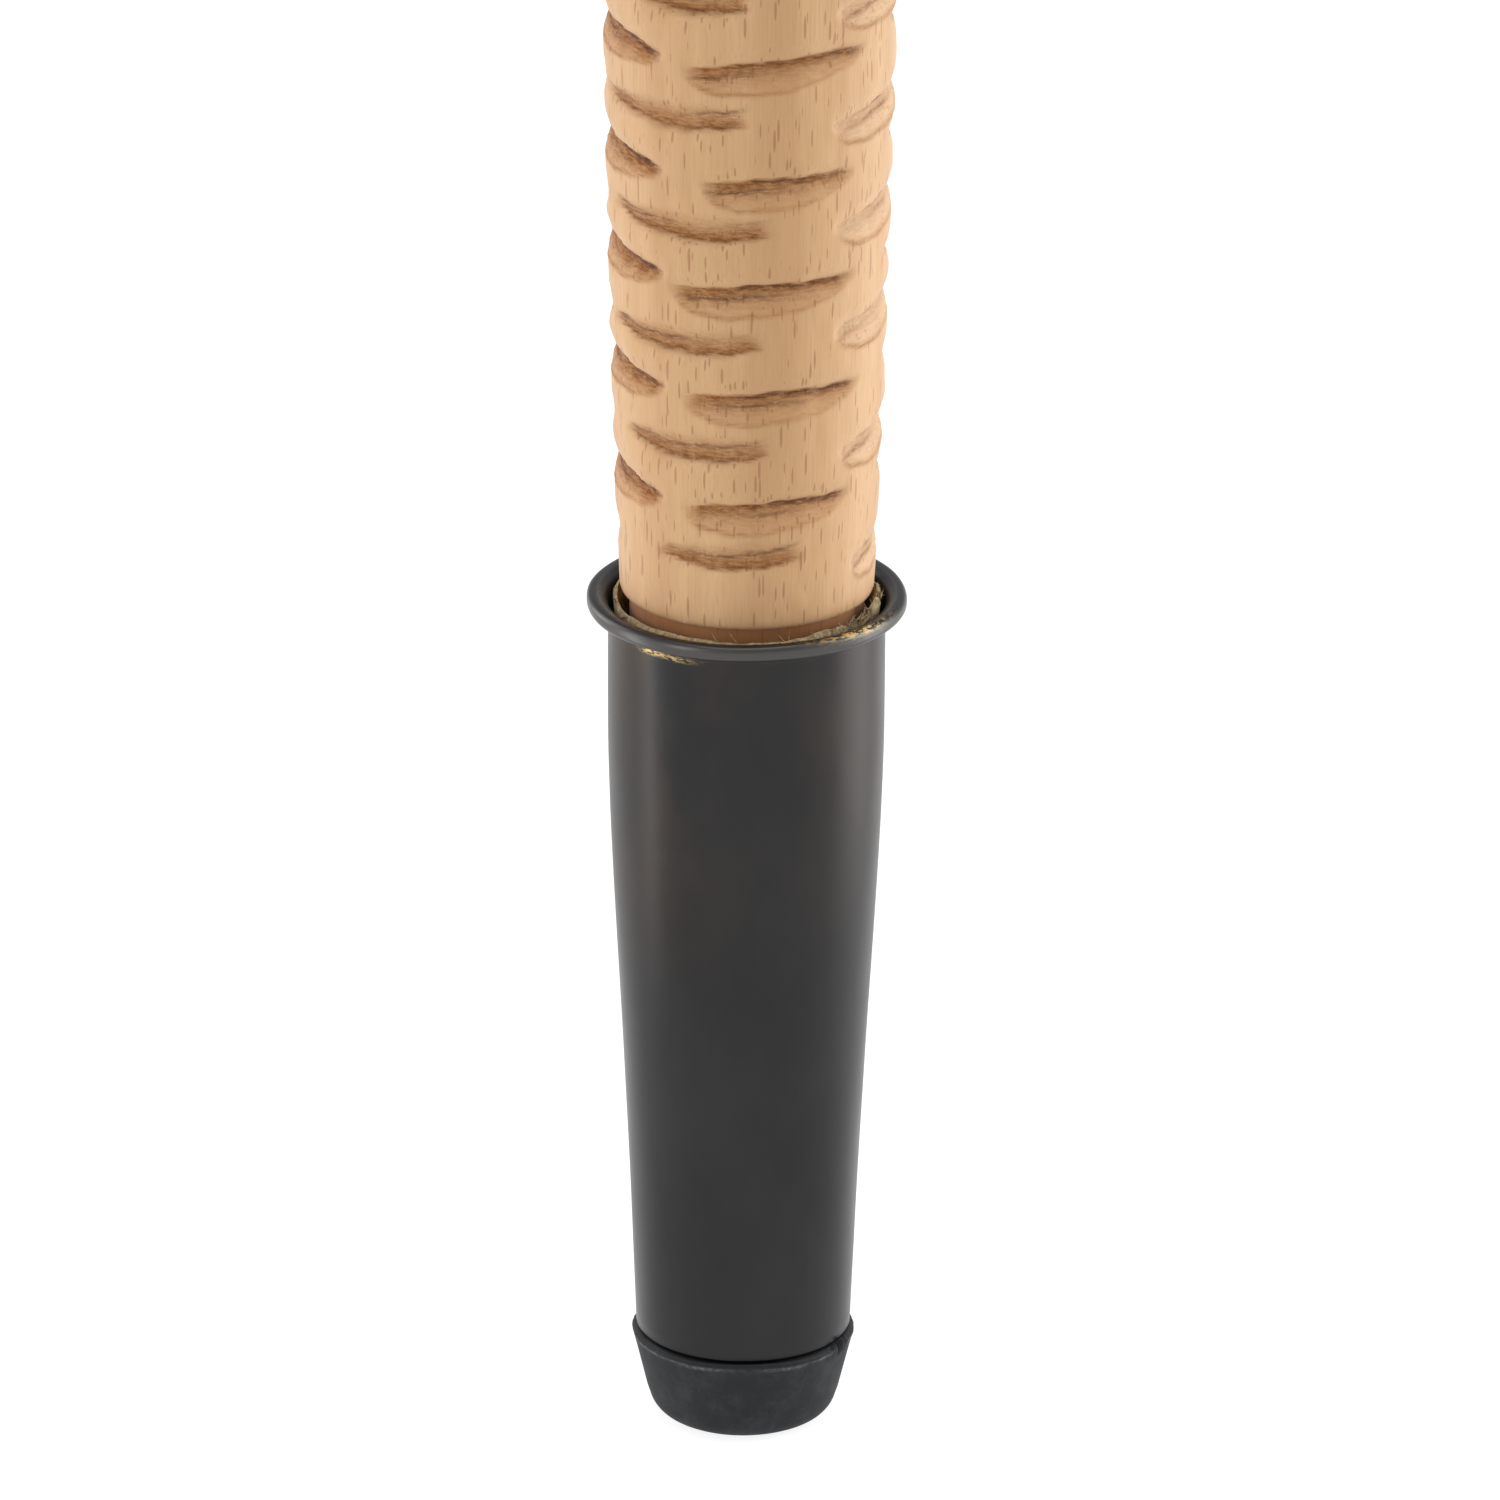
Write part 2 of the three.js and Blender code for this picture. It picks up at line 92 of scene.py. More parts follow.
# ---- Camera, floor and light, in metres and watts ----
CAMERA_PLACE = (0.00046, -1.28734, 0.60357)
CAMERA_LENS, CAMERA_DOWN, CAMERA_ROLL = 288, 22.0, 0.31  # mm, degrees, degrees
FLOOR_R = 9
FLOOR_GLOW, WORLD_GLOW = 0.86, 0.62
LIGHTS = (  # name, size, place, the point it is turned to, power
    ("key_right", (1.6, 2.6), (2.6, 0.3, 1.3), (0, 0, 0.3), 45),
    ("strip_right", (0.1, 0.2), (0.17, 0.024, 0.1), (0, 0, 0.1), 0.14),
    ("strip_left", (0.014, 0.2), (-0.16, -0.016, 0.1), (0, 0, 0.1), 0.08),
    ("side_left", (0.35, 2.2), (-1.9, -1.75, 1.1), (0, 0, 0.2), 16),
    ("back_left", (1.0, 2.4), (-2.4, 1.6, 1.2), (0, 0, 0.3), 30),
    ("overhead", (3.0, 3.0), (0, 0, 4.2), (0, 0, 0), 110),
)


# ---- Numbers ----
def unit(x):
    """x, kept between 0 and 1."""
    return np.clip(x, 0, 1)


def soft(x):
    """From 0 to 1 as x does, with a gentle start and end."""
    x = unit(x)
    return x * x * (3 - 2 * x)


def bell(x, wide):
    """1 where x is 0, falling away on both sides over so wide a range."""
    return np.exp(-((x / wide) ** 2))


def circle(count, start=0.0):
    """Evenly spaced angles once round."""
    return np.linspace(start, start + 2 * np.pi, count, endpoint=False)


def smooth_noise(shape, cells, seed):
    """Noise between -1 and 1 that wraps round the first axis, with so many cells along each axis."""
    grid = np.random.default_rng(seed).uniform(-1, 1, (cells[0], cells[1] + 2))
    u = np.linspace(0, cells[0], shape[0], endpoint=False)
    v = np.linspace(0, cells[1], shape[1])
    iu, iv = u.astype(int), v.astype(int)
    fu, fv = soft(u - iu)[:, None], soft(v - iv)[None, :]
    here, ahead = grid[iu % cells[0]], grid[(iu + 1) % cells[0]]
    low = here[:, iv] * (1 - fu) + ahead[:, iv] * fu
    high = here[:, iv + 1] * (1 - fu) + ahead[:, iv + 1] * fu
    return low * (1 - fv) + high * fv


def ring_noise(count, cells, seed):
    """Smooth noise at so many points round a ring."""
    return smooth_noise((count, 2), (cells, 1), seed)[:, 0]


# ---- Meshes ----
def mesh_object(name, points, faces, smooth_below=40.0):
    """An object from points in mm and faces, smooth except along edges sharper than smooth_below degrees."""
    mesh = bpy.data.meshes.new(name)
    mesh.from_pydata((np.asarray(points, float) * MM).tolist(), [], [list(map(int, f)) for f in faces])
    mesh.validate()
    obj = placed(name, mesh)
    shade(obj, smooth_below)
    return obj


def placed(name, data):
    """A new object in the scene."""
    obj = bpy.data.objects.new(name, data)
    bpy.context.scene.collection.objects.link(obj)
    return obj


def merged_object(name, parts):
    """One object of several closed parts, which go from the scene."""
    merged = bmesh.new()
    for part in parts:
        merged.from_mesh(part.data)
        bpy.data.objects.remove(part)
    bmesh.ops.recalc_face_normals(merged, faces=merged.faces)
    mesh = bpy.data.meshes.new(name)
    merged.to_mesh(mesh)
    merged.free()
    obj = placed(name, mesh)
    shade(obj, 60)
    return obj


def shade(obj, smooth_below):
    """Smooth shading, except along edges sharper than smooth_below degrees."""
    obj.data.shade_smooth()
    obj.data.set_sharp_from_angle(angle=math.radians(smooth_below))


def ring_faces(rows, columns, joined=False):
    """The four-sided faces between rings of points, with the last ring joined to the first or not."""
    i, j = np.meshgrid(np.arange(rows if joined else rows - 1), np.arange(columns), indexing="ij")
    below, above, right = i * columns, (i + 1) % rows * columns, (j + 1) % columns
    return np.stack([below + j, below + right, above + right, above + j], -1).reshape(-1, 4)


def rings_object(name, rings, ends="capped", smooth_below=40.0):
    """A surface through rings of points. Its two ends are capped, joined to each other or left open."""
    rings = np.asarray(rings, float)
    rows, columns = rings.shape[:2]
    points = rings.reshape(-1, 3)
    faces = ring_faces(rows, columns, joined=ends == "joined").tolist()
    if ends == "capped":
        first, start = len(points), (rows - 1) * columns
        points = np.vstack([points, rings[0].mean(0), rings[-1].mean(0)])
        for k in range(columns):
            after = (k + 1) % columns
            faces.append([first, after, k])
            faces.append([first + 1, start + k, start + after])
    return mesh_object(name, points, faces, smooth_below)


def turned(name, profile, around=96, ends="joined", axis="Z", z=0.0, smooth_below=40.0):
    """A profile turned about Z, or about X at the height z. A row is a radius, or one for each angle round,
    and a place along the axis."""
    radius = np.array([np.broadcast_to(row[0], around) for row in profile], float)
    place = np.repeat(np.array([row[1] for row in profile], float)[:, None], around, 1)
    angle = circle(around)
    across, along = radius * np.cos(angle), radius * np.sin(angle)
    layers = (across, along, place) if axis == "Z" else (place, across, along)
    return rings_object(name, np.stack(layers, -1) + (0, 0, z), ends, smooth_below)


def arc(r, z, radius, from_deg, to_deg, steps):
    """Part of a circle, as rows of a profile."""
    angles = np.radians(np.linspace(from_deg, to_deg, steps + 1))
    return [(r + radius * math.cos(a), z + radius * math.sin(a)) for a in angles]


def attribute(obj, name, values):
    """Stores one number, or one vector, per point."""
    values = np.asarray(values, np.float32)
    kind, key = ("FLOAT", "value") if values.ndim == 1 else ("FLOAT_VECTOR", "vector")
    layer = obj.data.attributes.new(name, kind, "POINT")
    layer.data.foreach_set(key, values.ravel())


def points_of(obj):
    """The object's points in mm."""
    flat = np.zeros(len(obj.data.vertices) * 3, np.float32)
    obj.data.vertices.foreach_get("co", flat)
    return flat.reshape(-1, 3) / MM


def move_points(obj, points):
    """Puts the object's points at new places, in mm."""
    obj.data.vertices.foreach_set("co", (points * MM).astype(np.float32).ravel())


def polar(points):
    """The points' angles round Z in degrees from the front, their distances from Z, and their heights."""
    across, deep, height = points.T
    return np.degrees(np.arctan2(across, -deep)), np.hypot(across, deep), height.copy()


def apply_modifiers(obj):
    evaluated = obj.evaluated_get(bpy.context.evaluated_depsgraph_get())
    mesh = bpy.data.meshes.new_from_object(evaluated)
    obj.modifiers.clear()
    obj.data = mesh


def cut_out(obj, cutter):
    """Takes the cutter's shape out of the object, and the cutter out of the scene."""
    boolean = obj.modifiers.new("cut", "BOOLEAN")
    boolean.operation = "DIFFERENCE"
    boolean.solver = "EXACT"
    boolean.object = cutter
    apply_modifiers(obj)
    bpy.data.objects.remove(cutter)


def stadium_cutter(low, high, from_x, to_x, r=SLOT_W / 2, sides=32):
    """A cutter along X with round ends centred at two heights."""
    angle = np.linspace(0, np.pi, sides // 2 + 1)
    top = np.stack([r * np.cos(angle), high + r * np.sin(angle)], -1)
    bottom = np.stack([-r * np.cos(angle), low - r * np.sin(angle)], -1)
    outline = np.vstack([top, bottom])
    return rings_object("cutter", [np.insert(outline, 0, x, axis=1) for x in (from_x, to_x)])


def box_cutter(half_x, half_y, low, high, x=0.0):
    """An upright box between two heights, its middle at x."""
    corners = np.array([(-half_x, -half_y), (half_x, -half_y), (half_x, half_y), (-half_x, half_y)])
    return rings_object("cutter", [np.insert(corners + (x, 0), 2, z, axis=1) for z in (low, high)])


# ---- Materials ----
class Material:
    """A node material, built up a line at a time."""

    def __init__(self, name):
        self.material = bpy.data.materials.new(name)
        self.material.use_nodes = True
        self.tree = self.material.node_tree
        self.shader = self.tree.nodes["Principled BSDF"]

    def node(self, kind, inputs=None, **settings):
        """A new node. An input is a number, a colour or another node's output."""
        node = self.tree.nodes.new(kind)
        for key, value in settings.items():
            setattr(node, key, value)
        for key, value in (inputs or {}).items():
            self.feed(node.inputs[key], value)
        return node

    def feed(self, socket, value):
        if isinstance(value, bpy.types.NodeSocket):
            self.tree.links.new(value, socket)
        else:
            socket.default_value = value

    def set(self, **inputs):
        for key, value in inputs.items():
            self.feed(self.shader.inputs[key.replace("_", " ")], value)

    def attribute(self, name, output="Fac"):
        return self.node("ShaderNodeAttribute", attribute_name=name).outputs[output]

    def place(self):
        """The point's place in the part, in mm."""
        coordinates = self.node("ShaderNodeTexCoord").outputs["Object"]
        return self.scaled(coordinates, 1000)

    def scaled(self, vector, by):
        """The vector, each axis times a number of its own, or all three times one number."""
        inputs = {"Vector": vector, "Scale": by if isinstance(by, tuple) else (by, by, by)}
        return self.node("ShaderNodeMapping", inputs).outputs[0]

    def noise(self, vector, by, detail=3.0, roughness=0.5, distortion=0.0):
        """Noise with so many features a mm along each axis, or along all three alike."""
        inputs = {"Vector": self.scaled(vector, by), "Scale": 1.0, "Detail": detail}
        inputs.update({"Roughness": roughness, "Distortion": distortion})
        return self.node("ShaderNodeTexNoise", inputs).outputs[0]

    def cells(self, vector, scale, feature):
        """The node of a Voronoi pattern."""
        inputs = {"Vector": vector, "Scale": scale, "Randomness": 1.0}
        return self.node("ShaderNodeTexVoronoi", inputs, feature=feature)

    def steps(self, value, low, high, to_low=0.0, to_high=1.0):
        """The value, moved smoothly from one range to another."""
        inputs = {"Value": value, "From Min": low, "From Max": high, "To Min": to_low, "To Max": to_high}
        return self.node("ShaderNodeMapRange", inputs, interpolation_type="SMOOTHSTEP").outputs[0]

    def maths(self, operation, first, second):
        node = self.node("ShaderNodeMath", operation=operation)
        self.feed(node.inputs[0], first)
        self.feed(node.inputs[1], second)
        return node.outputs[0]

    def times(self, first, second):
        return self.maths("MULTIPLY", first, second)

    def mix(self, amount, first, second):
        node = self.node("ShaderNodeMix", data_type="RGBA")
        self.feed(node.inputs["Factor"], amount)
        for socket, colour in ((node.inputs[6], first), (node.inputs[7], second)):
            self.feed(socket, colour if isinstance(colour, bpy.types.NodeSocket) else (*colour, 1))
        return node.outputs[2]

    def bump(self, height, distance, strength=1.0):
        """Roughens the surface, by so many mm where the height goes from 0 to 1."""
        inputs = {"Height": height, "Distance": distance * MM, "Strength": strength}
        self.set(Normal=self.node("ShaderNodeBump", inputs).outputs[0])


def coat(obj, material):
    obj.data.materials.clear()
    obj.data.materials.append(material)


def beech(name, carved=False):
    """Pale steamed beech, with its short dark ray flecks. Z in the attribute grain runs along the fibres."""
    m = Material(name)
    grain = m.attribute("grain", "Vector")
    light, deep = (0.55, 0.336, 0.17), (0.48, 0.274, 0.128)
    bands = m.noise(grain, (0.16, 0.16, 0.006), detail=4)
    colour = m.mix(m.steps(bands, 0.35, 0.68), light, deep)
    fibres = m.noise(grain, (4.2, 4.2, 0.09), detail=4, roughness=0.65)
    colour = m.mix(m.steps(fibres, 0.42, 0.72, 0, 0.35), colour, [c * 0.8 for c in deep])
    flecks = m.cells(m.scaled(grain, (2.1, 2.1, 0.24)), 1.0, "F1")
    size = m.node("ShaderNodeSeparateColor", {"Color": flecks.outputs["Color"]}).outputs[0]
    reach = m.steps(size, 0.15, 1.0, 0.04, 0.4)
    near = m.maths("SUBTRACT", reach, flecks.outputs["Distance"])
    fleck = m.steps(near, 0.0, 0.09)
    colour = m.mix(m.times(fleck, 0.6), colour, (0.29, 0.12, 0.05))
    height = m.times(fibres, 0.5)
    rough = 0.5
    if carved:
        # cut is brown stain with painted shade next to each crease; crease is painted shade.
        stain = m.attribute("cut")
        crease = m.attribute("crease")
        pale = m.attribute("pale")
        around = m.attribute("around", "Vector")
        torn = m.noise(around, (0.6, 2.8, 1), detail=6, roughness=0.75, distortion=0.25)
        blotch = m.noise(around, (0.3, 0.5, 1), detail=3)
        brown = m.mix(m.steps(torn, 0.38, 0.62), (0.365, 0.155, 0.044), (0.205, 0.067, 0.012))
        amount = m.times(stain, m.steps(m.maths("ADD", torn, blotch), 0.75, 1.15, 0.6, 1.0))
        colour = m.mix(m.times(amount, m.steps(pale, 0, 1, 1.0, 0.0)), colour, brown)
        colour = m.mix(m.times(pale, m.steps(torn, 0.35, 0.62, 0.15, 0.7)), colour, (0.60, 0.42, 0.27))
        # Painted shade: dark lines along the cuts' creases and slits, reddish brown on pale cuts.
        crease_and_slit_shade = m.times(crease, m.steps(torn, 0.38, 0.52, 0.15, 1.0))
        dark = m.mix(pale, (0.085, 0.027, 0.007), (0.26, 0.095, 0.03))
        colour = m.mix(m.times(crease_and_slit_shade, 0.92), colour, dark)
        # Painted shade on the tenon under the shoulder.
        colour = m.mix(m.attribute("shade"), colour, (0.48, 0.175, 0.06))
        height = m.maths("ADD", height, m.times(m.times(stain, torn), 3.5))
        rough = m.steps(stain, 0.0, 1.0, 0.5, 0.9)
    m.set(Base_Color=colour, Roughness=rough, Specular_IOR_Level=0.3)
    m.set(Sheen_Weight=0.12, Sheen_Roughness=0.45)
    m.bump(height, 0.09, 0.8)
    return m.material


def blackened_brass():
    """Brass patinated nearly black, with rubbed places where the metal shows, and a painted highlight along
    the collar's edges.
    """
    m = Material("blackened_brass")
    place = m.place()
    cloud = m.noise(place, (0.09, 0.09, 0.045), detail=4, roughness=0.6)
    drawn = m.noise(place, (0.35, 0.35, 6.0), detail=3)
    colour = m.mix(m.steps(cloud, 0.3, 0.72), (0.0285, 0.028, 0.0284), (0.0342, 0.0333, 0.0334))
    dusky = m.noise(place, (0.05, 0.05, 0.03), detail=3)
    colour = m.mix(m.times(m.attribute("brown"), m.steps(dusky, 0.4, 0.62)), colour, (0.058, 0.0435, 0.035))
    speck = m.noise(place, (1.2, 1.2, 4.6), detail=5, roughness=0.75)
    rub = m.times(m.attribute("rub"), m.steps(speck, 0.46, 0.53))
    haze = m.times(m.attribute("rub"), m.steps(speck, 0.35, 0.6, 0, 0.3))
    colour = m.mix(haze, colour, (0.14, 0.095, 0.04))
    colour = m.mix(rub, colour, (0.95, 0.66, 0.26))
    # Painted highlight: lighter grey along the collar's outer rim and top edge.
    edge = m.attribute("edge")
    colour = m.mix(m.times(edge, 0.5), colour, (0.12, 0.12, 0.115))
    rough = m.steps(cloud, 0.3, 0.7, 0.33, 0.4)
    rough = m.maths("ADD", rough, m.times(rub, 0.2))
    m.set(Base_Color=colour, Metallic=m.steps(rub, 0, 1, 0.92, 0.6), Roughness=rough, Specular_IOR_Level=0.5)
    m.bump(m.maths("ADD", m.times(drawn, 0.35), m.times(speck, 0.25)), 0.02, 0.5)
    return m.material


def tip_rubber():
    """Moulded rubber, dusty bluish grey, darker along the lip from less dust there and from painted shade."""
    m = Material("tip_rubber")
    place = m.place()
    dust = m.noise(place, 0.35, detail=5, roughness=0.65)
    speck = m.noise(place, 1.6, detail=3, roughness=0.7)
    colour = m.mix(m.steps(dust, 0.4, 0.72), (0.014, 0.0155, 0.0175), (0.026, 0.028, 0.031))
    colour = m.mix(m.steps(speck, 0.66, 0.8, 0, 0.4), colour, (0.14, 0.135, 0.13))
    # Painted shade, with less dust, along the lip.
    colour = m.mix(m.attribute("dark"), colour, (0.010, 0.011, 0.013))
    worn = m.times(m.attribute("line"), m.steps(speck, 0.4, 0.6, 0.25, 0.9))
    colour = m.mix(worn, colour, (0.12, 0.125, 0.13))
    m.set(Base_Color=colour, Roughness=0.66, Specular_IOR_Level=0.2)
    m.bump(m.maths("ADD", dust, m.times(speck, 0.5)), 0.08, 0.6)
    return m.material


def plated_steel():
    """Zinc plated steel, dulled, with a faint mottle and fine scratches."""
    m = Material("plated_steel")
    place = m.place()
    mottle = m.noise(place, 0.55, detail=5, roughness=0.65)
    scratch = m.noise(place, (0.7, 6.0, 6.0), detail=4, roughness=0.7)
    colour = m.mix(m.steps(mottle, 0.32, 0.7), (0.50, 0.50, 0.485), (0.30, 0.30, 0.295))
    m.set(Base_Color=colour, Metallic=1.0, Roughness=m.steps(mottle, 0.3, 0.7, 0.28, 0.46))
    m.bump(m.maths("ADD", m.times(mottle, 0.6), m.times(scratch, 0.3)), 0.03, 0.6)
    return m.material


def saddle_leather():
    """Brown hide with a pebbled grain, paler where it is rubbed along the edges."""
    m = Material("saddle_leather")
    place = m.place()
    pebbles = m.cells(place, 1.05, "SMOOTH_F1").outputs["Distance"]
    fine = m.noise(place, 2.4, detail=4, roughness=0.6)
    cloud = m.noise(place, 0.05, detail=4, roughness=0.6)
    colour = m.mix(m.steps(cloud, 0.3, 0.72), (0.105, 0.043, 0.018), (0.165, 0.074, 0.033))
    colour = m.mix(m.steps(pebbles, 0.35, 0.75, 0, 0.45), colour, (0.05, 0.02, 0.009))
    worn = m.times(m.attribute("worn"), m.steps(fine, 0.35, 0.6, 0.3, 0.8))
    colour = m.mix(worn, colour, (0.27, 0.145, 0.075))
    m.set(Base_Color=colour, Roughness=m.steps(fine, 0.3, 0.7, 0.4, 0.56), Specular_IOR_Level=0.45)
    height = m.maths("SUBTRACT", m.times(fine, 0.35), pebbles)
    m.bump(height, 0.22, 0.7)
    return m.material


def linen_thread():
    m = Material("linen_thread")
    twist = m.noise(m.place(), 5, detail=3)
    m.set(Base_Color=m.mix(twist, (0.42, 0.33, 0.20), (0.62, 0.52, 0.36)), Roughness=0.8)
    m.bump(twist, 0.05, 0.8)
    return m.material


def mottled(name, by, noise, edges, dark, light, **settings):
    """A material of two colours, and the noise that shares the surface out between them."""
    m = Material(name)
    mottle = m.noise(m.place(), by, **noise)
    m.set(Base_Color=m.mix(m.steps(mottle, *edges), dark, light), **settings)
    return m, mottle


def liner_fibre():
    """Coarse torn vegetable fibre, beige with browner strands."""
    noise = {"detail": 5, "roughness": 0.75, "distortion": 0.8}
    dark, light = (0.20, 0.14, 0.075), (0.46, 0.36, 0.21)
    m, strands = mottled("liner_fibre", (1.5, 1.5, 0.8), noise, (0.35, 0.66), dark, light, Roughness=0.95)
    m.set(Specular_IOR_Level=0.1)
    m.bump(strands, 0.35)
    return m.material


def felted_hair():
    noise = {"detail": 6, "roughness": 0.75, "distortion": 1.2}
    dark, light = (0.30, 0.23, 0.14), (0.60, 0.50, 0.34)
    m, strands = mottled("felted_hair", 1.2, noise, (0.35, 0.65), dark, light, Roughness=0.95)
    m.bump(strands, 0.5)
    return m.material


def tack_brass():
    bright, dull = (0.56, 0.37, 0.13), (0.27, 0.16, 0.06)
    m, mottle = mottled("tack_brass", 0.8, {"detail": 4}, (0.35, 0.7), bright, dull, Metallic=1.0)
    m.set(Roughness=m.steps(mottle, 0.3, 0.7, 0.26, 0.45))
    return m.material


BEECH, STEEL = beech("beech_planed"), plated_steel()


def finish_piece(piece, body, material, node=None):
    """Gives a piece its material and body, and hides the CAD node that it stands for, if it has one."""
    coat(piece, material)
    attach(piece, body)
    if node:
        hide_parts(node)
    return piece


# ---- Camera ----
def add_camera():
    """Looks down at the foot from 1.4 m, with a long lens and a slight roll."""
    camera = bpy.data.cameras.new("camera")
    camera.lens = CAMERA_LENS
    camera.sensor_width = 36
    camera.clip_end = 50
    obj = placed("camera", camera)
    down, roll = math.radians(CAMERA_DOWN), math.radians(CAMERA_ROLL)
    turn = Matrix.Rotation(math.pi / 2 - down, 4, "X") @ Matrix.Rotation(roll, 4, "Z")
    obj.matrix_world = Matrix.Translation(CAMERA_PLACE) @ turn
    bpy.context.scene.camera = obj


add_camera()


# ---- Staff ----
# The gouge cuts that face the front, in four columns: centre right, centre left, left and right. A cut is its
# height, its middle and half-width in degrees, its rise from left to right, and its depth. The crease is at a
# cut's upper side (+1) or lower side (-1). Pale cuts are fresh wood, and stain is how brown the others are
# and how dark the painted shade along all their creases is. A back column is its middle, its lowest cut's
# height, its crease's side and how pale it is.
PITCH = 13.35  # from one cut up to the next
FRONT_COLUMNS = (
    {"crease": 1, "pale": 0, "stain": 1.0, "cuts": (
        (119.3, 10, 39, 0.9, 0.9), (132.7, 12, 41, 0.6, 0.9), (145.7, 7, 41, 0.9, 1.1),
        (158.5, 13, 33, 0.3, 0.9), (172.5, 12, 39, 1.5, 1.0),
    )},
    {"crease": -1, "pale": 0, "stain": 1.0, "cuts": (
        (111.8, -9, 34, 0.1, 0.6), (124.9, -26, 37, -0.4, 0.9), (137.8, -32, 40, -0.3, 0.9),
        (151.6, -29, 40, -0.7, 0.9), (164.7, -37, 38, -0.4, 1.0), (178.6, -28, 29, -0.5, 1.2),
    )},
    {"crease": 1, "pale": 0, "stain": 1.6, "cuts": (
        (120.5, -76, 38, -2.2, 1.15), (133.9, -76, 40, -2.0, 1.2), (147.7, -76, 40, -2.2, 1.2),
        (160.0, -76, 40, -1.8, 1.25), (173.9, -76, 40, -2.2, 1.25),
    )},
    {"crease": 1, "pale": 1, "stain": 1.25, "cuts": (
        (111.3, 80, 27, 1.6, 0.7), (125.5, 78, 35, 1.6, 1.15), (140.4, 76, 38, 1.8, 1.25),
        (153.0, 76, 39, 1.6, 1.2), (165.3, 74, 39, 1.8, 1.2), (178.6, 76, 39, 1.4, 1.25),
    )},
)
BACK_COLUMNS = ((-115, 111.8, -1, 0), (-160, 119.3, 1, 0), (157, 111.8, -1, 0), (113, 119.3, -1, 0.6))
CARVING_TOP_Z = 274.0
CUT_HEIGHT = 3.6
SEEN_TOP_Z, FINE_TOP_Z = 180.0, 289.0
SEEN_STEP, FINE_STEP = 0.33, 0.86  # from ring to ring, up to those two heights
ROUND_HALF = 19.6  # half the blade's thickness where it is still quite round
CORNER_POWER = 26  # how sharp the blade's corners are


def staff_radius(z):
    """The staff's radius before it is carved, least at the shoulder."""
    return STAFF_R - (STAFF_R - SHOULDER_R) * np.exp(-(z - SHOULDER_Z) / TAPER_LENGTH)


def all_cuts():
    """Every cut on the staff: height, middle, half-width, rise, depth, crease side, paleness, stain."""
    cuts = []
    for column in FRONT_COLUMNS:
        look = (column["crease"], column["pale"], column["stain"])
        cuts += [(*cut, *look) for cut in column["cuts"]]
        z, rise = column["cuts"][-1][0], column["cuts"][-1][3]
        mean = float(np.mean([cut[1] for cut in column["cuts"][1:]]))
        while z + PITCH < CARVING_TOP_Z:
            z += PITCH
            turn, wide, lift, deep = rng.uniform(-1, 1, 4)
            size = 1.0 if z < CARVING_TOP_Z - 12 else 0.75
            depth = size * (1.1 + 0.15 * deep)
            cuts.append((z + 0.5 * lift, mean + 4 * turn, 38 + 3 * wide, rise, depth, *look))
    for middle, low, crease, pale in BACK_COLUMNS:
        z = low
        while z < CARVING_TOP_Z:
            turn, wide, lift, deep, tilt = rng.uniform(-1, 1, 5)
            depth = 1.15 + 0.15 * deep
            cut = (z + 0.5 * lift, middle + 4 * turn, 39 + 3 * wide, 0.9 * tilt, depth)
            cuts.append((*cut, crease, pale, 1.1))
            z += PITCH
    return cuts


def carve(angle, z):
    """How deep each point of the staff is cut, how stained and pale it is, and how dark the painted shade
    along its creases is.
    """
    depth, stain, crease_and_slit_shade, pale_mask = np.zeros((4, *z.shape))
    for number, (z0, middle, half, rise, deep, crease, pale, strength) in enumerate(all_cuts()):
        rows = np.abs(z[:, 0] - z0) < 6.6
        u = ((angle[rows] - middle + 180) % 360 - 180) / half
        inside = unit(1 - u * u)
        wander = 0.09 * np.sin(u * 7.3 + number) + 0.07 * np.sin(u * 17.1 + 2.3 * number)
        sag = -0.35 if crease > 0 else 1.25
        # q is the height over the cut's crisp edge, turned so that the scoop is always on the minus side.
        q = crease * (z[rows] - (z0 + 0.5 * rise * u + sag * (u * u - 0.35) + wander))
        span = CUT_HEIGHT * np.sqrt(inside) * (1 - 0.22 * u * crease) + 1e-6
        bank = 0.6 * soft(1 - q / 0.55) + 0.4 * soft(1 - q / 2.4)
        side = np.where(q > 0, bank, soft(1 + q / span) ** 0.8)

        ends = unit(inside * 3.0 - 0.1)
        within = unit(1 - q / 0.22) * unit((1 + q / span) * 3.0)
        reach = unit(0.75 + 0.7 * np.sin(2.4 * u + 1.1 * number))
        if crease > 0:
            band = (1.25 - 0.4 * u) * strength**0.5
            rim = (0.45 - 0.2 * u) * bell(q + 0.93 * span, 0.32)
            line = bell(q + 0.14, 0.3 + 0.12 * u) * soft((u + 0.7) / 0.6)
            second = bell(q + 1.35 + 0.3 * u, 0.24) * reach * soft((0.55 - u) / 0.7)
        else:
            band, rim = 1.7, 0
            line = 0.5 * bell(q + 0.1, 0.22)
            second = bell(q + 1.6 + 0.5 * u, 0.25) * reach
        # Brown stain, darkest next to the crease, where it also stands in for painted shade.
        stain_and_shade_tone = 0.26 + 0.74 * bell(np.clip(-q, 0, 9), band)
        # Painted shade: a dark line along the crease, and a second dark slit.
        painted_shade_lines = np.maximum(line * (0.5 + 0.5 * reach), 0.85 * second)
        for mask, value in (
            (depth, deep * np.sqrt(inside) * side),
            (stain, ends * unit(strength * (within * stain_and_shade_tone + rim))),
            (crease_and_slit_shade, ends * unit(painted_shade_lines * strength)),
            (pale_mask, pale * ends * within),
        ):
            mask[rows] = np.maximum(mask[rows], value)
    return depth, stain, crease_and_slit_shade, pale_mask


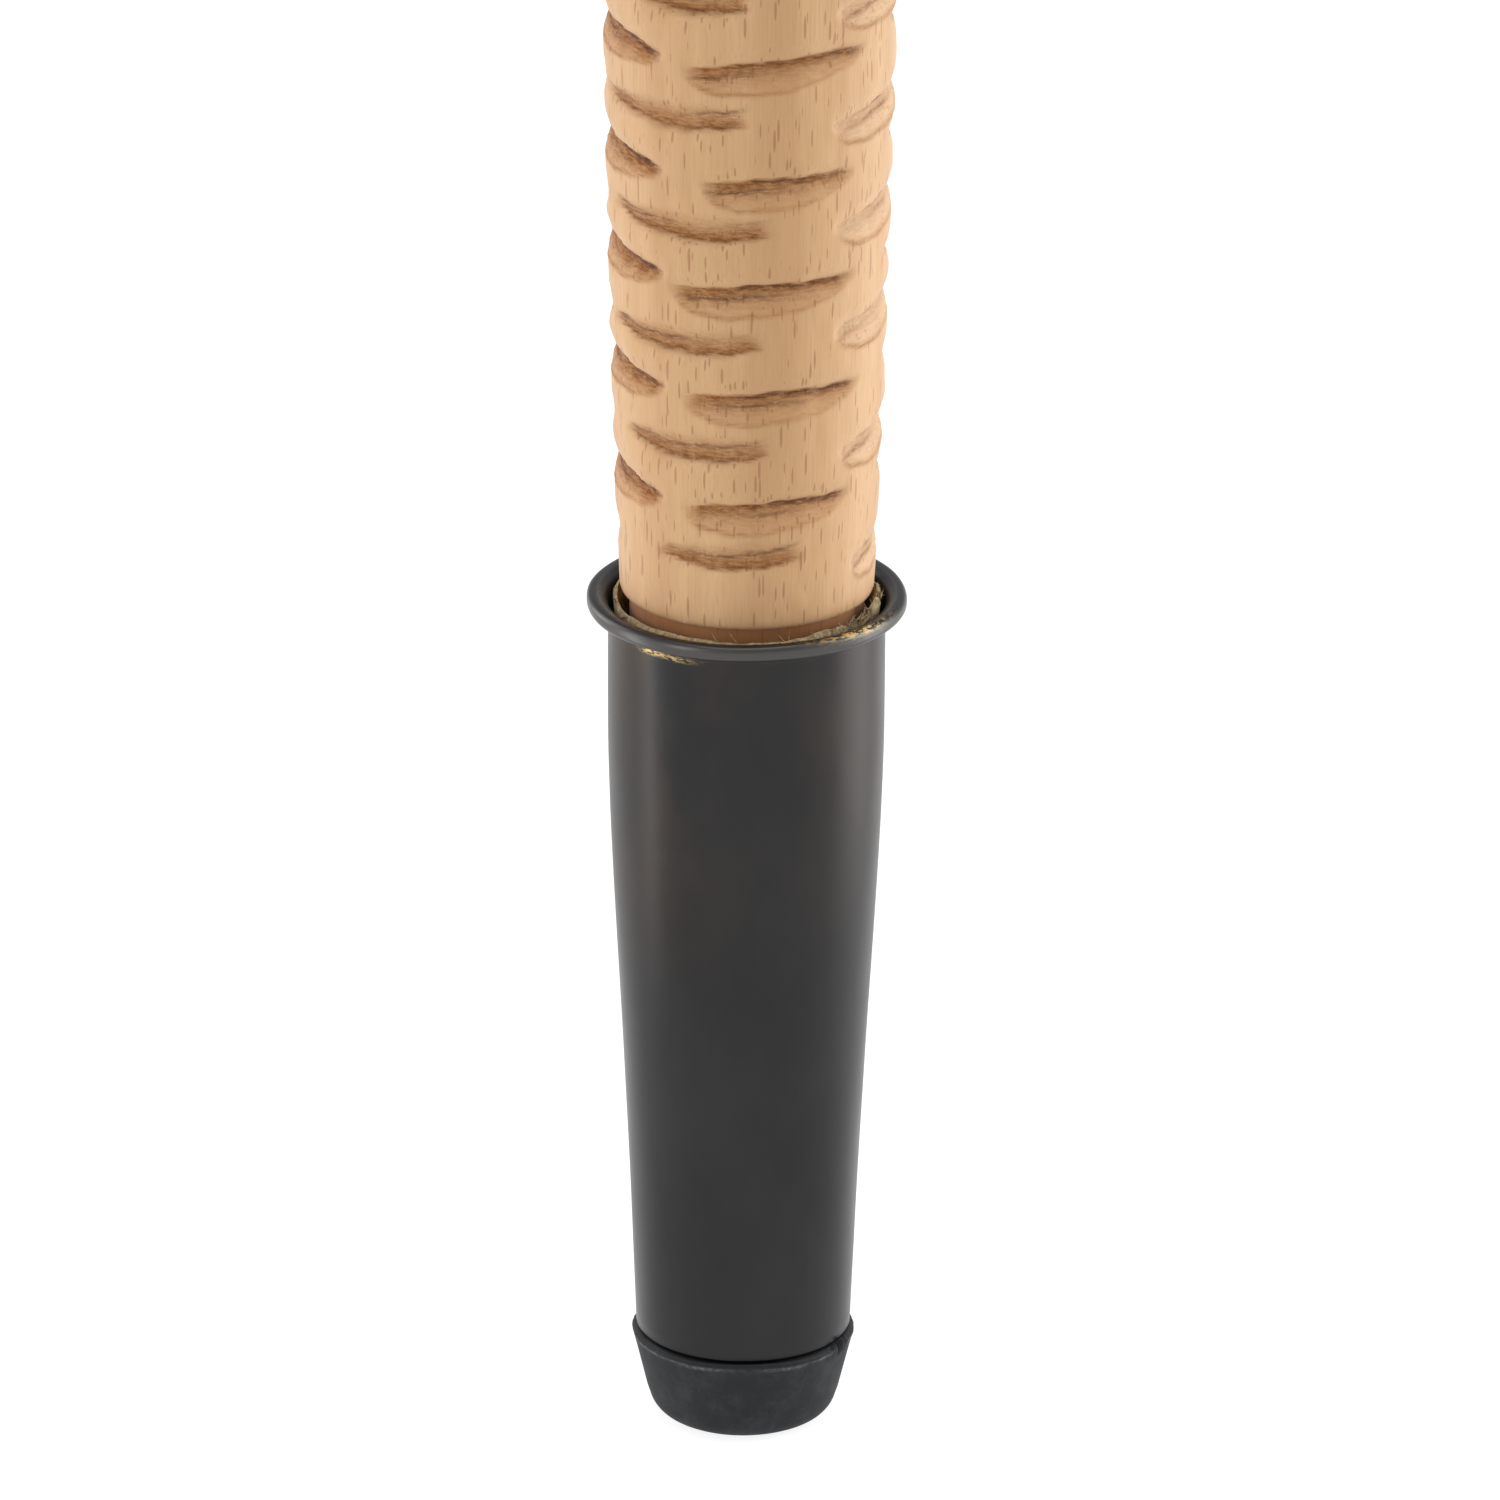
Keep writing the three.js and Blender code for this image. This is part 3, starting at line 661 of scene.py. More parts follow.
def staff_section(angle, z):
    """The staff's radius: round below, flattened on both sides above the carving."""
    t = unit((z - BLADE_START_Z) / (BLADE_FLAT_Z - BLADE_START_Z))
    half = ROUND_HALF + (BLADE_HALF - ROUND_HALF) * (1 - (1 - t) ** 2)
    flat = np.where(z < BLADE_START_Z, 0, np.abs(np.sin(angle)) / half)
    return (staff_radius(z) ** -CORNER_POWER + flat**CORNER_POWER) ** (-1 / CORNER_POWER)


def staff_rings(heights):
    """The angle and the height of each point of the staff's rings."""
    return np.meshgrid(circle(STAFF_AROUND, -np.pi), np.asarray(heights, float))


def round_points(angle, z, r):
    """Points from their angles from the front, heights and distances from Z."""
    return np.stack([r * np.sin(angle), -r * np.cos(angle), z], -1)


def make_staff():
    """Three stretches of rings: the tenon, the carved round and the flat blade with its rounded top."""
    seen = np.arange(SHOULDER_Z + 0.35, SEEN_TOP_Z, SEEN_STEP)
    above = np.arange(SEEN_TOP_Z, FINE_TOP_Z, FINE_STEP)
    angle, z = staff_rings(np.concatenate([seen, above]))
    masks = carve(np.degrees(angle), z)
    depth, stain = masks[:2]
    turned_shape = z.shape[::-1]
    tremble = 0.05 * smooth_noise(turned_shape, (60, 60), 3).T
    tremble += 0.07 * smooth_noise(turned_shape, (9, 26), 5).T
    fine = 0.09 * smooth_noise(turned_shape, (64, 560), 11).T * unit(stain)
    r = staff_section(angle, z) - depth + tremble - fine
    carved = round_points(angle, z, r)

    tenon = [
        (TENON_FOOT_R - 0.6, TENON_FOOT_Z),
        (TENON_FOOT_R, TENON_FOOT_Z + 0.6),
        (TENON_R, TENON_Z),
        (TENON_R, SHOULDER_Z - 0.95),
        (TENON_R + 0.1, SHOULDER_Z - 0.8),
        (SHOULDER_R - 0.55, SHOULDER_Z - 0.75),
        (SHOULDER_R - 0.16, SHOULDER_Z - 0.52),
        (SHOULDER_R - 0.03, SHOULDER_Z - 0.12),
    ]
    radii, heights = np.array(tenon).T
    angle, z = staff_rings(heights)
    # The topmost ring follows the carving above it.
    uneven = np.clip(staff_radius(seen[0]) - r[0], -1, 1) * (z > SHOULDER_Z - 0.3)
    low_rings = round_points(angle, z, radii[:, None] - uneven)

    flats = [*np.arange(290, 310, 2.0), *np.arange(312, 645, 18.0), 640, 643, 645]
    rounded = [(0.6, 646), (1.6, 647.4), (2.9, 648.7), (4.6, 649.7), (6.0, STAFF_TOP_Z)]
    shrink, heights = np.array([(0, height) for height in flats] + rounded).T
    angle, z = staff_rings(heights)
    blade = round_points(angle, z, staff_section(angle, z))
    blade[:, :, :2] *= ((STAFF_R - shrink) / STAFF_R)[:, None, None]
    blade_object = rings_object("staff_blade", np.concatenate([carved[-1:], blade]))
    cut_out(blade_object, stadium_cutter(*LEG_SLOT, -20, 20, sides=40))
    foot_object = rings_object("staff_carved", np.concatenate([low_rings, carved]))
    # The crease attribute holds the painted shade along the creases; cut is the brown stain, partly painted
    # shade.
    for name, mask in zip(("cut", "crease", "pale"), masks[1:]):
        values = [np.zeros(low_rings.size // 3), mask.ravel(), np.zeros(2)]
        attribute(foot_object, name, np.concatenate(values))

    # The top cap of the carved part and the lower cap of the blade go, and the two are welded into one skin.
    staff = join_open(foot_object, blade_object, z_mm=float(carved[-1, :, 2].mean()))
    points = points_of(staff)
    across, deep, height = points.T
    attribute(staff, "grain", points)
    attribute(staff, "around", np.stack([np.arctan2(across, -deep) * STAFF_R, height, height * 0], -1))
    # Painted shade on the tenon below the shoulder, down in the ferrule's mouth.
    attribute(staff, "shade", unit((SHOULDER_Z - 0.5 - height) / 0.3) * 0.62)
    staff.name = "staff_beech"
    return staff


def join_open(first, second, z_mm):
    """Joins two closed skins that share the ring at z_mm: their caps there go and the ring is welded."""
    merged = bmesh.new()
    level = z_mm * MM
    for obj in (first, second):
        part = bmesh.new()
        part.from_mesh(obj.data)
        flat = [f for f in part.faces if all(abs(v.co.z - level) < 1e-6 for v in f.verts)]
        bmesh.ops.delete(part, geom=flat, context="FACES")
        loose = [v for v in part.verts if not v.link_faces]
        bmesh.ops.delete(part, geom=loose, context="VERTS")
        scratch = bpy.data.meshes.new("scratch")
        part.to_mesh(scratch)
        part.free()
        merged.from_mesh(scratch)
        bpy.data.meshes.remove(scratch)
    bmesh.ops.remove_doubles(merged, verts=merged.verts, dist=2e-6)
    bmesh.ops.recalc_face_normals(merged, faces=merged.faces)
    merged.to_mesh(first.data)
    merged.free()
    bpy.data.objects.remove(second)
    shade(first, 50)
    return first


finish_piece(make_staff(), "leg", beech("beech_carved", carved=True), "staff")


# ---- Ferrule ----
def ferrule_radius(z):
    """A smooth curve through the knots."""
    height, radius = np.array(FERRULE_KNOTS).T
    slope = np.gradient(radius, height)
    i = np.clip(np.searchsorted(height, z) - 1, 0, len(height) - 2)
    span = height[i + 1] - height[i]
    t = (z - height[i]) / span
    a, b = radius[i], radius[i + 1]
    return (
        (2 * t**3 - 3 * t**2 + 1) * a
        + (t**3 - 2 * t**2 + t) * span * slope[i]
        + (3 * t**2 - 2 * t**3) * b
        + (t**3 - t**2) * span * slope[i + 1]
    )


def make_ferrule():
    up = (*np.linspace(FERRULE_FOOT_Z + 0.25, 98.6, 60), 99.2, 99.7)
    down = np.linspace(97.2, FERRULE_FOOT_Z + 0.1, 30)
    outside = [(float(ferrule_radius(z)), z) for z in up]
    inside = [(float(ferrule_radius(z)) - FERRULE_WALL, z) for z in down]
    under = COLLAR_TOP_Z - COLLAR_THICK
    edge = 0.78
    profile = [(12.35, FERRULE_FOOT_Z), (12.5, FERRULE_FOOT_Z + 0.05)]
    profile += outside
    profile += arc(16.0 + 1.1, under - 1.1 - 0.05, 1.1, 180, 96, 7)
    profile += [(17.25, under + 0.02), (17.5, under + 0.04)]
    profile += arc(COLLAR_R - edge, under + edge, edge, -84, 0, 6)
    profile += arc(COLLAR_R - edge, COLLAR_TOP_Z - edge, edge, 6, 80, 6)
    profile += [(17.45, COLLAR_TOP_Z), (17.2, COLLAR_TOP_Z - 0.02)]
    # The mouth runs down and in like a funnel.
    profile += [(17.0, 103.17), (16.7, 103.02), (16.4, 102.8), (16.15, 102.45), (16.02, 102.0)]
    profile += [(15.93, 101.4), (15.82, 100.5), (15.6, 99.4), (15.4, 98.2)]
    profile += inside
    ferrule = turned("ferrule_shell", profile, around=240, smooth_below=60)
    points = points_of(ferrule)
    a, r, z = polar(points)

    def patch(middle, wide, place, tall, along=z):
        return bell(a - middle, wide) * bell(along - place, tall)

    under_collar = 1.6 * patch(-43, 5.5, 100.55, 0.36) + 0.65 * patch(-30, 7, 100.3, 0.15)
    under_collar += 0.3 * patch(-39, 3.5, 71, 2.2)
    on_top = 0.75 * patch(46, 16, 17.9, 0.4, along=r) * (z > 102.6)
    inner_lip = 0.3 * patch(-30, 50, 17.1, 0.3, along=r) * (z > 102.4)
    attribute(ferrule, "rub", unit(under_collar * (r > 15.6) + on_top + inner_lip))
    attribute(ferrule, "brown", soft((z - 52) / 42) * (0.35 + 0.5 * soft((25 - a) / 60)) * (z < 103))
    # The edge attribute is a painted highlight along the collar's rim and top edge.
    corner = bell(r - COLLAR_R, 0.22) + 0.8 * bell(z - COLLAR_TOP_Z, 0.12) * (r < 17.4)
    attribute(ferrule, "edge", unit(corner))
    # The spun collar is not quite true.
    wave = 0.09 * np.sin(np.radians(a) * 3 + 0.6) + 0.05 * np.sin(np.radians(a) * 7)
    points[:, 2] += unit((r - 16.6) / 1.8) * unit((z - 101) / 1.5) * wave
    move_points(ferrule, points)
    return ferrule


finish_piece(make_ferrule(), "leg", blackened_brass(), "ferrule")


# ---- Fibre liner ----
def make_liner():
    """The sleeve between tenon and ferrule. Its top stands up torn, most of all at the right."""
    columns = 300
    angle = circle(columns, -np.pi)
    degrees = np.degrees(angle)
    ragged, rough = ring_noise(columns, 75, 21), ring_noise(columns, 24, 22)
    right = bell(degrees - 75, 35)
    back = unit((np.abs(degrees) - 70) / 60)
    top = 102.55 + 0.16 * ragged + 0.2 * rough + right * (0.45 + 0.55 * ragged + 0.3 * rough) + 0.5 * back
    lean = 0.1 * rough + 0.35 * right * ragged
    rows = []
    for z in (42.0, 60.0, 78.0, 92.0, 96.0):
        rows.append((np.full(columns, float(ferrule_radius(z)) - FERRULE_WALL - GAP), np.full(columns, z)))
    for share in (0.35, 0.7, 0.92):
        r = 14.89 + (15.5 - 14.89) * share + lean * share + 0.12 * ragged * share
        rows.append((r, 96 + (top - 96) * share))
    thick = 0.65 + 0.2 * rough
    inner = [(outer - thick, z) for outer, z in rows]
    rows += [(15.25 + lean, top), (14.95 + lean, top + 0.03), *inner[::-1]]
    rings = np.stack([round_points(angle, z, r) for r, z in rows])
    return rings_object("liner_sleeve", rings, "joined", 70)


def strand(start, heading, length, r, curl, local, sides=5, steps=6):
    """The rings of one torn fibre that bends as it goes."""
    point = np.array(start, float)
    heading = np.array(heading, float)
    rings = []
    for i in range(steps + 1):
        heading = heading + curl * local.uniform(-1, 1, 3)
        heading /= np.linalg.norm(heading)
        side = np.cross(heading, (0.3, 0.2, 0.93))
        side /= np.linalg.norm(side)
        other = np.cross(heading, side)
        thin = r * (1 - 0.75 * (i / steps) ** 2)
        turn = circle(sides)[:, None]
        rings.append(point + thin * (np.cos(turn) * side + np.sin(turn) * other))
        point = point + heading * length / steps
    return np.array(rings)


def make_strands():
    """Loose fibres along the liner's torn edge, as one mesh of many small closed strands."""
    local = np.random.default_rng(31)
    points, faces = [], []
    total = 0
    for _ in range(STRAND_COUNT):
        degrees = local.normal(72, 24) if local.random() < 0.85 else local.uniform(-180, 180)
        a = math.radians(degrees)
        r = local.uniform(14.9, 15.5)
        z = local.uniform(101.7, 102.5) + 0.4 * bell(degrees - 75, 35)
        start = (r * math.sin(a), -r * math.cos(a), z)
        along = local.choice((-1, 1)) * local.uniform(0.2, 1.2)
        heading = (along * math.cos(a), along * math.sin(a), local.uniform(0.25, 0.9))
        rings = strand(start, heading, local.uniform(0.7, 1.8), local.uniform(0.05, 0.1), 0.22, local)
        steps, sides = rings.shape[:2]
        points.append(rings.reshape(-1, 3))
        faces += (total + ring_faces(steps, sides)).tolist()
        end = total + steps * sides
        faces += [range(total, total + sides)[::-1], range(end - sides, end)]
        total = end
    return mesh_object("liner_strands", np.vstack(points), faces)


liner = finish_piece(make_liner(), "leg", liner_fibre(), "ferrule_liner")
finish_piece(make_strands(), "leg", liner.data.materials[0])


# ---- Rubber tip ----
def make_tip():
    flat_r, edge_r = 8.1, 2.95
    profile = [(2.3, 3.9), (4.8, 3.9), (5.0, 3.7), (5.0, 0.25), (5.25, 0.0)]
    profile += arc(flat_r, edge_r, edge_r, -90, -14, 12)
    profile += [(11.24 + (12.62 - 11.24) * t, 3.0 + (8.7 - 3.0) * t) for t in np.linspace(0.06, 1, 16)]
    profile += [(12.73, 9.1), (12.82, 9.45), (12.91, 9.75), (13.0, 9.98), (13.05, 10.12), (13.05, 10.24)]
    profile += [(12.99, 10.36), (12.9, 10.47), (12.79, 10.6), (12.67, 10.73), (12.55, 10.83), (12.42, 10.89)]
    profile += [(12.3, 10.9), (11.3, 10.9), (11.3, 14.8), (10.7, 15.4), (2.3, 15.4), (2.3, 10)]
    tip = turned("tip_moulding", profile, around=240, smooth_below=50)
    points = points_of(tip)
    a, r, z = polar(points)

    def wander(cells, seed):
        return np.interp(a, np.linspace(-180, 180, 721), ring_noise(721, cells, seed))

    lip = unit((z - 9.3) / 0.4) * (r > 12)
    nibble, slow = wander(150, 41), wander(26, 42)
    torn = bell(a - 62, 7)
    tear = torn * np.sin(np.radians(58 * a))
    # The lip stands higher in front than at the sides, and is torn at the right.
    front = 0.62 * bell(a, 42) * unit((r - 12.5) / 0.4) * unit((z - 7) / 3)
    grow = lip * (0.05 * nibble + 0.05 * slow + 0.3 * tear)
    drop = front + lip * (0.05 * slow + 0.7 * tear) * unit((z - 9.6) / 0.5) * (r > 12.6)
    points[:, :2] *= ((r + grow) / np.maximum(r, 1e-6))[:, None]
    points[:, 2] += drop
    z = points[:, 2]
    # The moulded wall is slightly uneven.
    uneven = 0.05 * wander(9, 43) * (r > 7) * (z < 9.4)
    points[:, :2] *= (1 + uneven / np.maximum(r, 1))[:, None]
    move_points(tip, points)
    # Darker along the lip's top and its torn part: less dust there, and painted shade in the groove at the
    # lip's top.
    dark = unit((z - 10.2) / 0.15) * (r > 11.5)
    attribute(tip, "dark", unit(dark + 0.8 * torn * (z > 9.3)))
    attribute(tip, "line", bell(z - 10.17, 0.13) * (r > 12.8) * (1 - torn))
    return tip


finish_piece(make_tip(), "leg", tip_rubber(), "rubber_tip")


# ---- Bows ----
def bow_x(z):
    """The right bow's middle line: near the staff at its foot, spread out above the bend."""
    t = unit((z - BOW_BEND[0]) / (BOW_BEND[1] - BOW_BEND[0]))
    return BOW_NEAR_X + (BOW_FAR_X - BOW_NEAR_X) * t**3 * (10 - 15 * t + 6 * t * t)


def rounded_section(half_a, half_b, corner, per_corner=7):
    """A rounded rectangle's outline, as points along two axes."""
    outline = []
    for quarter, (sign_a, sign_b) in enumerate(((1, 1), (-1, 1), (-1, -1), (1, -1))):
        for k in range(per_corner):
            angle = quarter * math.pi / 2 + k / (per_corner - 1) * math.pi / 2
            a = sign_a * (half_a - corner) + corner * math.cos(angle)
            b = sign_b * (half_b - corner) + corner * math.sin(angle)
            outline.append((a, b))
    return np.array(outline)


def bow_slope(z):
    return bow_x(z + 0.5) - bow_x(z - 0.5)


def make_bow(side, name):
    """Made at the right, on square rings across its middle line, and turned over for the left."""
    heights = [*np.arange(423, 548, 25.0), *np.linspace(*BOW_BEND, 56), *np.arange(760, 1210, 30.0)]
    heights.append(BOW_TOP_Z)
    section = rounded_section(BOW_THICK / 2, BOW_DEEP / 2, 4.2)
    rings = []
    for inset, rise in ((3.4, 0.0), (1.9, 0.35), (0.9, 1.1), (0.25, 2.4), (0.0, 4.2)):
        shrink = 1 - inset / np.array([BOW_THICK / 2, BOW_DEEP / 2])
        across, deep = (section * shrink).T
        lift = 9.0 * unit((across + 1) / (BOW_THICK / 2 + 1)) ** 2
        rings.append(np.stack([BOW_NEAR_X + across, deep, BOW_FOOT_Z + rise + lift], -1))
    for z in heights:
        slope = float(bow_slope(z))
        length = math.hypot(slope, 1)
        across, deep = section.T
        rings.append(np.stack([bow_x(z) + across / length, deep, z - across * slope / length], -1))
    bow = rings_object(name, rings)
    cut_out(bow, stadium_cutter(*GRIP_SLOT, BOW_FAR_X - 20, BOW_FAR_X + 20))
    for z in CLAMP_Z:
        cut_out(bow, stadium_cutter(z, z + 0.01, 0, 45, r=BOLT_R + GAP))
    points = points_of(bow)
    if side < 0:
        points[:, 0] *= -1
        move_points(bow, points)
        bow.data.flip_normals()
    slope = bow_slope(points[:, 2]) * side
    across = (points[:, 0] - side * bow_x(points[:, 2])) / np.hypot(slope, 1)
    attribute(bow, "grain", np.stack([across + 300 * side, points[:, 1], points[:, 2] + 90 * side], -1))
    shade(bow, 35)
    return bow


SIDES = ((-1, "left"), (1, "right"))
for side, word in SIDES:
    bow = make_bow(side, f"bow_{word}")
    finish_piece(bow, "frame", BEECH, f"{word}_bow")


# ---- Bolts, washers and wing nuts ----
def threaded_rows(start, end, r, angle, pitch=THREAD_PITCH, depth=THREAD_DEPTH):
    """Places along the axis, and the radius at each place and angle, of a thread."""
    places = np.arange(start, end, pitch / 8)
    phase = (places[:, None] / pitch - angle[None, :] / (2 * np.pi)) % 1
    ridge = np.abs(2 * phase - 1)
    fade = unit((places - start) / (1.5 * pitch)) * np.clip((end - places) / pitch, 0.25, 1)
    return places, r - depth * fade[:, None] * unit(1.25 * ridge - 0.12)


def carriage_bolt(name, face, z, end, thread_from):
    """A bolt along X, its domed head on the bow's left face and a square neck under it."""
    angle = circle(40)
    seat = -(face + GAP)
    head = [(0.35, 4.38), (2.2, 4.28), (4.1, 3.95), (5.9, 3.35), (7.4, 2.5)]
    head += [(8.5, 1.6), (9.2, 0.85), (9.5, 0.3), (9.42, 0.05), (9.2, 0.0)]
    square = np.minimum(4.0 / np.maximum(np.abs(np.cos(angle)), np.abs(np.sin(angle))), 5.3)
    places, radius = threaded_rows(thread_from, end - 0.7, BOLT_R, angle)
    rows = [(r, seat - above) for r, above in head]
    rows += [(square, seat), (square, seat + 4.2), (BOLT_R, seat + 4.6), (BOLT_R, thread_from - 1)]
    rows += [*zip(radius, places), (3.3, end - 0.5), (2.9, end - 0.1), (2.6, end)]
    return turned(name, rows, len(angle), "capped", "X", z, smooth_below=55)


def flat_washer(name, from_x, to_x, z, outer=9.5):
    hole, round_off = BOLT_R + GAP, 0.22
    profile = []
    for edge, inwards in ((from_x, round_off), (to_x, -round_off)):
        side = [(hole, edge + inwards), (hole + round_off, edge)]
        side += [(outer - round_off, edge), (outer, edge + inwards)]
        profile += side if inwards > 0 else side[::-1]
    return turned(name, profile, around=72, axis="X", z=z, smooth_below=30)


def wing_outline():
    """One wing, as places along X and up from the axis."""
    curve = []
    line = np.array([(1, 2.5), (2.2, 8.0), (7.3, 11.5), (6.2, 17.3), (10.2, 17.0)])
    line = np.vstack([line, [(14.6, 16.4), (14.4, 13.0), (12.6, 8.5), (8.6, 2.5)]])
    for a, b, c in zip(line[:-2:2], line[1::2], line[2::2]):
        for t in np.linspace(0, 1, 9)[:-1]:
            curve.append((1 - t) ** 2 * a + 2 * t * (1 - t) * b + t * t * c)
    return np.array(curve)


def make_wing_nut():
    """A cast wing nut at the origin, its axis along X: a tapered hub and two wings, run together."""
    profile = [(0.01, 0.1), (6.9, 0.1), (7.2, 0.5), (7.0, 1.6), (6.5, 3.0), (6.0, 6.0), (5.7, 8.6)]
    profile += [(5.2, 9.3), (0.01, 9.4)]
    hub = turned("hub", profile, 48, "capped", "X")
    outline = wing_outline()
    middle = outline.mean(0)
    parts = [hub]
    for up in (1, -1):
        rings = []
        for share, y in ((0.8, -1.7), (0.93, -1.35), (1.0, -0.7), (1.0, 0.7), (0.93, 1.35), (0.8, 1.7)):
            line = middle + (outline - middle) * share
            rings.append(np.stack([line[:, 0], np.full(len(line), y * up), line[:, 1] * up], -1))
        parts.append(rings_object("wing", rings))
    nut = merged_object("wing_nut_casting", parts)
    remesh = nut.modifiers.new("remesh", "REMESH")
    remesh.mode = "VOXEL"
    remesh.voxel_size = 0.36 * MM
    relax = nut.modifiers.new("relax", "SMOOTH")
    relax.factor, relax.iterations = 0.5, 5
    apply_modifiers(nut)
    cut_out(nut, stadium_cutter(-0.005, 0.005, -1, 17, r=BOLT_R + GAP, sides=40))
    shade(nut, 45)
    return nut


def add_wing_nut(casting, name, x, z):
    """A copy of the casting, its foot at x and its axis at height z."""
    nut = placed(name, casting.data.copy())
    nut.data.transform(Matrix.Translation((x * MM, 0, z * MM)))
    return nut


casting = make_wing_nut()
for word, face, z, body, nut_body in (
    ("lower_clamp", CLAMP_FACE, CLAMP_Z[0], "frame", "lower_nut"),
    ("upper_clamp", CLAMP_FACE, CLAMP_Z[1], "frame", "upper_nut"),
    ("grip", GRIP_FACE, GRIP_Z, "grip_carriage", "grip_nut"),
):
    end = face + NUT_OFFSET + 14
    bolt = carriage_bolt(f"{word}_carriage_bolt", face, z, end, face - 8)
    finish_piece(bolt, body, STEEL, f"{word}_bolt")
    washer_node = "grip_outer_washer" if word == "grip" else f"{word}_washer"
    washer = flat_washer(f"{word}_flat_washer", face + GAP, face + GAP + WASHER_THICK, z)
    finish_piece(washer, body, STEEL, washer_node)
    nut_node = "grip_wing_nut" if word == "grip" else word.replace("clamp", "wing_nut")
    nut = add_wing_nut(casting, f"{word}_cast_wing_nut", face + NUT_OFFSET, z)
    finish_piece(nut, nut_body, STEEL, nut_node)
bpy.data.objects.remove(casting)
for side, word in SIDES:
    near, far = sorted((side * (GRIP_HALF + GAP), side * (GRIP_INNER_FACE - GAP)))
    washer = flat_washer(f"grip_large_washer_{word}", near, far, GRIP_Z, 12)
    finish_piece(washer, "grip_carriage", STEEL, f"grip_inner_washer_{word}")


# ---- Hand grip ----
def grain_along_x(obj, shift):
    """Fibres that run along X. The shift gives each piece a stretch of the pattern of its own."""
    across, deep, up = points_of(obj).T
    attribute(obj, "grain", np.stack([deep + shift, up, across], -1))


def make_grip():
    knots = [(12.4, 0), (13.6, 0.35), (14.4, 1.2), (14.95, 2.6), (15.0, 4.0), (14.7, 5.4), (14.0, 6.6)]
    knots += [(13.45, 8.0), (13.4, 9.4), (13.75, 12), (14.6, 16)]
    knots += [(15.5, 21.5), (16.2, 28), (16.75, 34), (17.05, 41)]
    bore = BOLT_R + GAP
    left = [(r, place - GRIP_HALF) for r, place in knots]
    right = [(r, GRIP_HALF - place) for r, place in knots][::-1]
    profile = [(bore, -GRIP_HALF + 0.6), (bore + 0.6, -GRIP_HALF)] + left + [(17.2, 0.0)] + right
    profile += [(bore + 0.6, GRIP_HALF), (bore, GRIP_HALF - 0.6)]
    grip = turned("grip_turning", profile, around=96, axis="X", z=GRIP_Z, smooth_below=50)
    grain_along_x(grip, 500)
    return grip


finish_piece(make_grip(), "grip", BEECH, "hand_grip")


# ---- Underarm bar ----
def bar_top(x):
    """The height of the bar's hollowed top."""
    return BAR_TOP_Z + BAR_RISE * (x / BAR_HALF) ** 2


def make_bar():
    rings = []
    for x in np.concatenate([np.linspace(-90, -78, 13), np.linspace(-74, 74, 38), np.linspace(78, 90, 13)]):
        beyond = unit((abs(x) - 80) / 10)
        low = BAR_UNDER_Z + 12 * (1 - math.sqrt(1 - 0.995 * beyond**2))
        high = bar_top(x)
        end = unit((abs(x) - 88.4) / 1.6) ** 2 * 1.6
        turn = unit((abs(x) - 84) / 6)
        corner = 6 * (1 - math.sqrt(1 - 0.98 * turn**2))
        section = rounded_section(BAR_DEEP / 2 - max(corner, end), (high - low) / 2 - end, 3.8)
        deep, up = section.T
        rings.append(np.stack([np.full(len(section), x), deep, (high + low) / 2 + up], -1))
    bar = rings_object("bar_shaped", rings)
    for x in (-BOW_FAR_X, BOW_FAR_X):
        cut_out(bar, box_cutter(BOW_THICK / 2 + GAP, BOW_DEEP / 2 + GAP, 1190.0, BOW_TOP_Z + GAP, x))
    grain_along_x(bar, 700)
    shade(bar, 35)
    return bar


finish_piece(make_bar(), "frame", BEECH, "underarm_bar")


# ---- Pad: stuffing, leather, piping, stitches and tacks ----
def pad_outline(reach, half_deep, corner, count=360):
    """A rounded rectangle from above: evenly spaced points, outward directions, and distances along it."""
    fine = rounded_section(reach, half_deep, corner, 40)
    closed = np.vstack([fine, fine[:1]])
    steps = np.hypot(*np.diff(closed, axis=0).T)
    along = np.concatenate([[0], np.cumsum(steps)])
    start = along[-1] - (half_deep - corner)
    wanted = np.linspace(0, along[-1], count, endpoint=False)
    line = np.stack([np.interp((wanted + start) % along[-1], along, closed[:, k]) for k in (0, 1)], -1)
    ahead = np.roll(line, -1, 0) - np.roll(line, 1, 0)
    out = np.stack([ahead[:, 1], -ahead[:, 0]], -1)
    return line, out / np.hypot(*out.T)[:, None], wanted


def eased(ring, sigma):
    """A closed ring with its corners eased, by an average over so many neighbours."""
    reach = int(3 * sigma) + 1
    weights = np.exp(-0.5 * (np.arange(-reach, reach + 1) / sigma) ** 2)
    weights /= weights.sum()
    return sum(w * np.roll(ring, k, 0) for w, k in zip(weights, range(-reach, reach + 1)))


def dome_ring(line, out, outset, share, height, spine=COVER_SPINE):
    """A ring of the pad: its side line set out, and then drawn in by a share towards the middle line."""
    edge = line + out * outset
    middle = np.stack([np.clip(edge[:, 0], -spine, spine), np.zeros(len(edge))], -1)
    plan = edge + (middle - edge) * share
    if share > 0:
        plan = eased(plan, 0.5 + len(line) / 26 * share)
    return np.column_stack([plan, bar_top(plan[:, 0]) + height])


def crown(share):
    """How much of the pad's rise is reached at a share of the way in."""
    return (1 - (1 - share) ** 2.3) ** 0.5


def open_skin(name, rings):
    """A skin through rings, open at both ends. Points of a ring that lie together become one."""
    obj = rings_object(name, rings, "open", 60)
    skin = bmesh.new()
    skin.from_mesh(obj.data)
    bmesh.ops.remove_doubles(skin, verts=skin.verts, dist=2e-5)
    bmesh.ops.recalc_face_normals(skin, faces=skin.faces)
    skin.to_mesh(obj.data)
    skin.free()
    highest = max(obj.data.polygons, key=lambda face: face.center.z)
    if highest.normal.z < 0:
        obj.data.flip_normals()
    shade(obj, 60)
    return obj


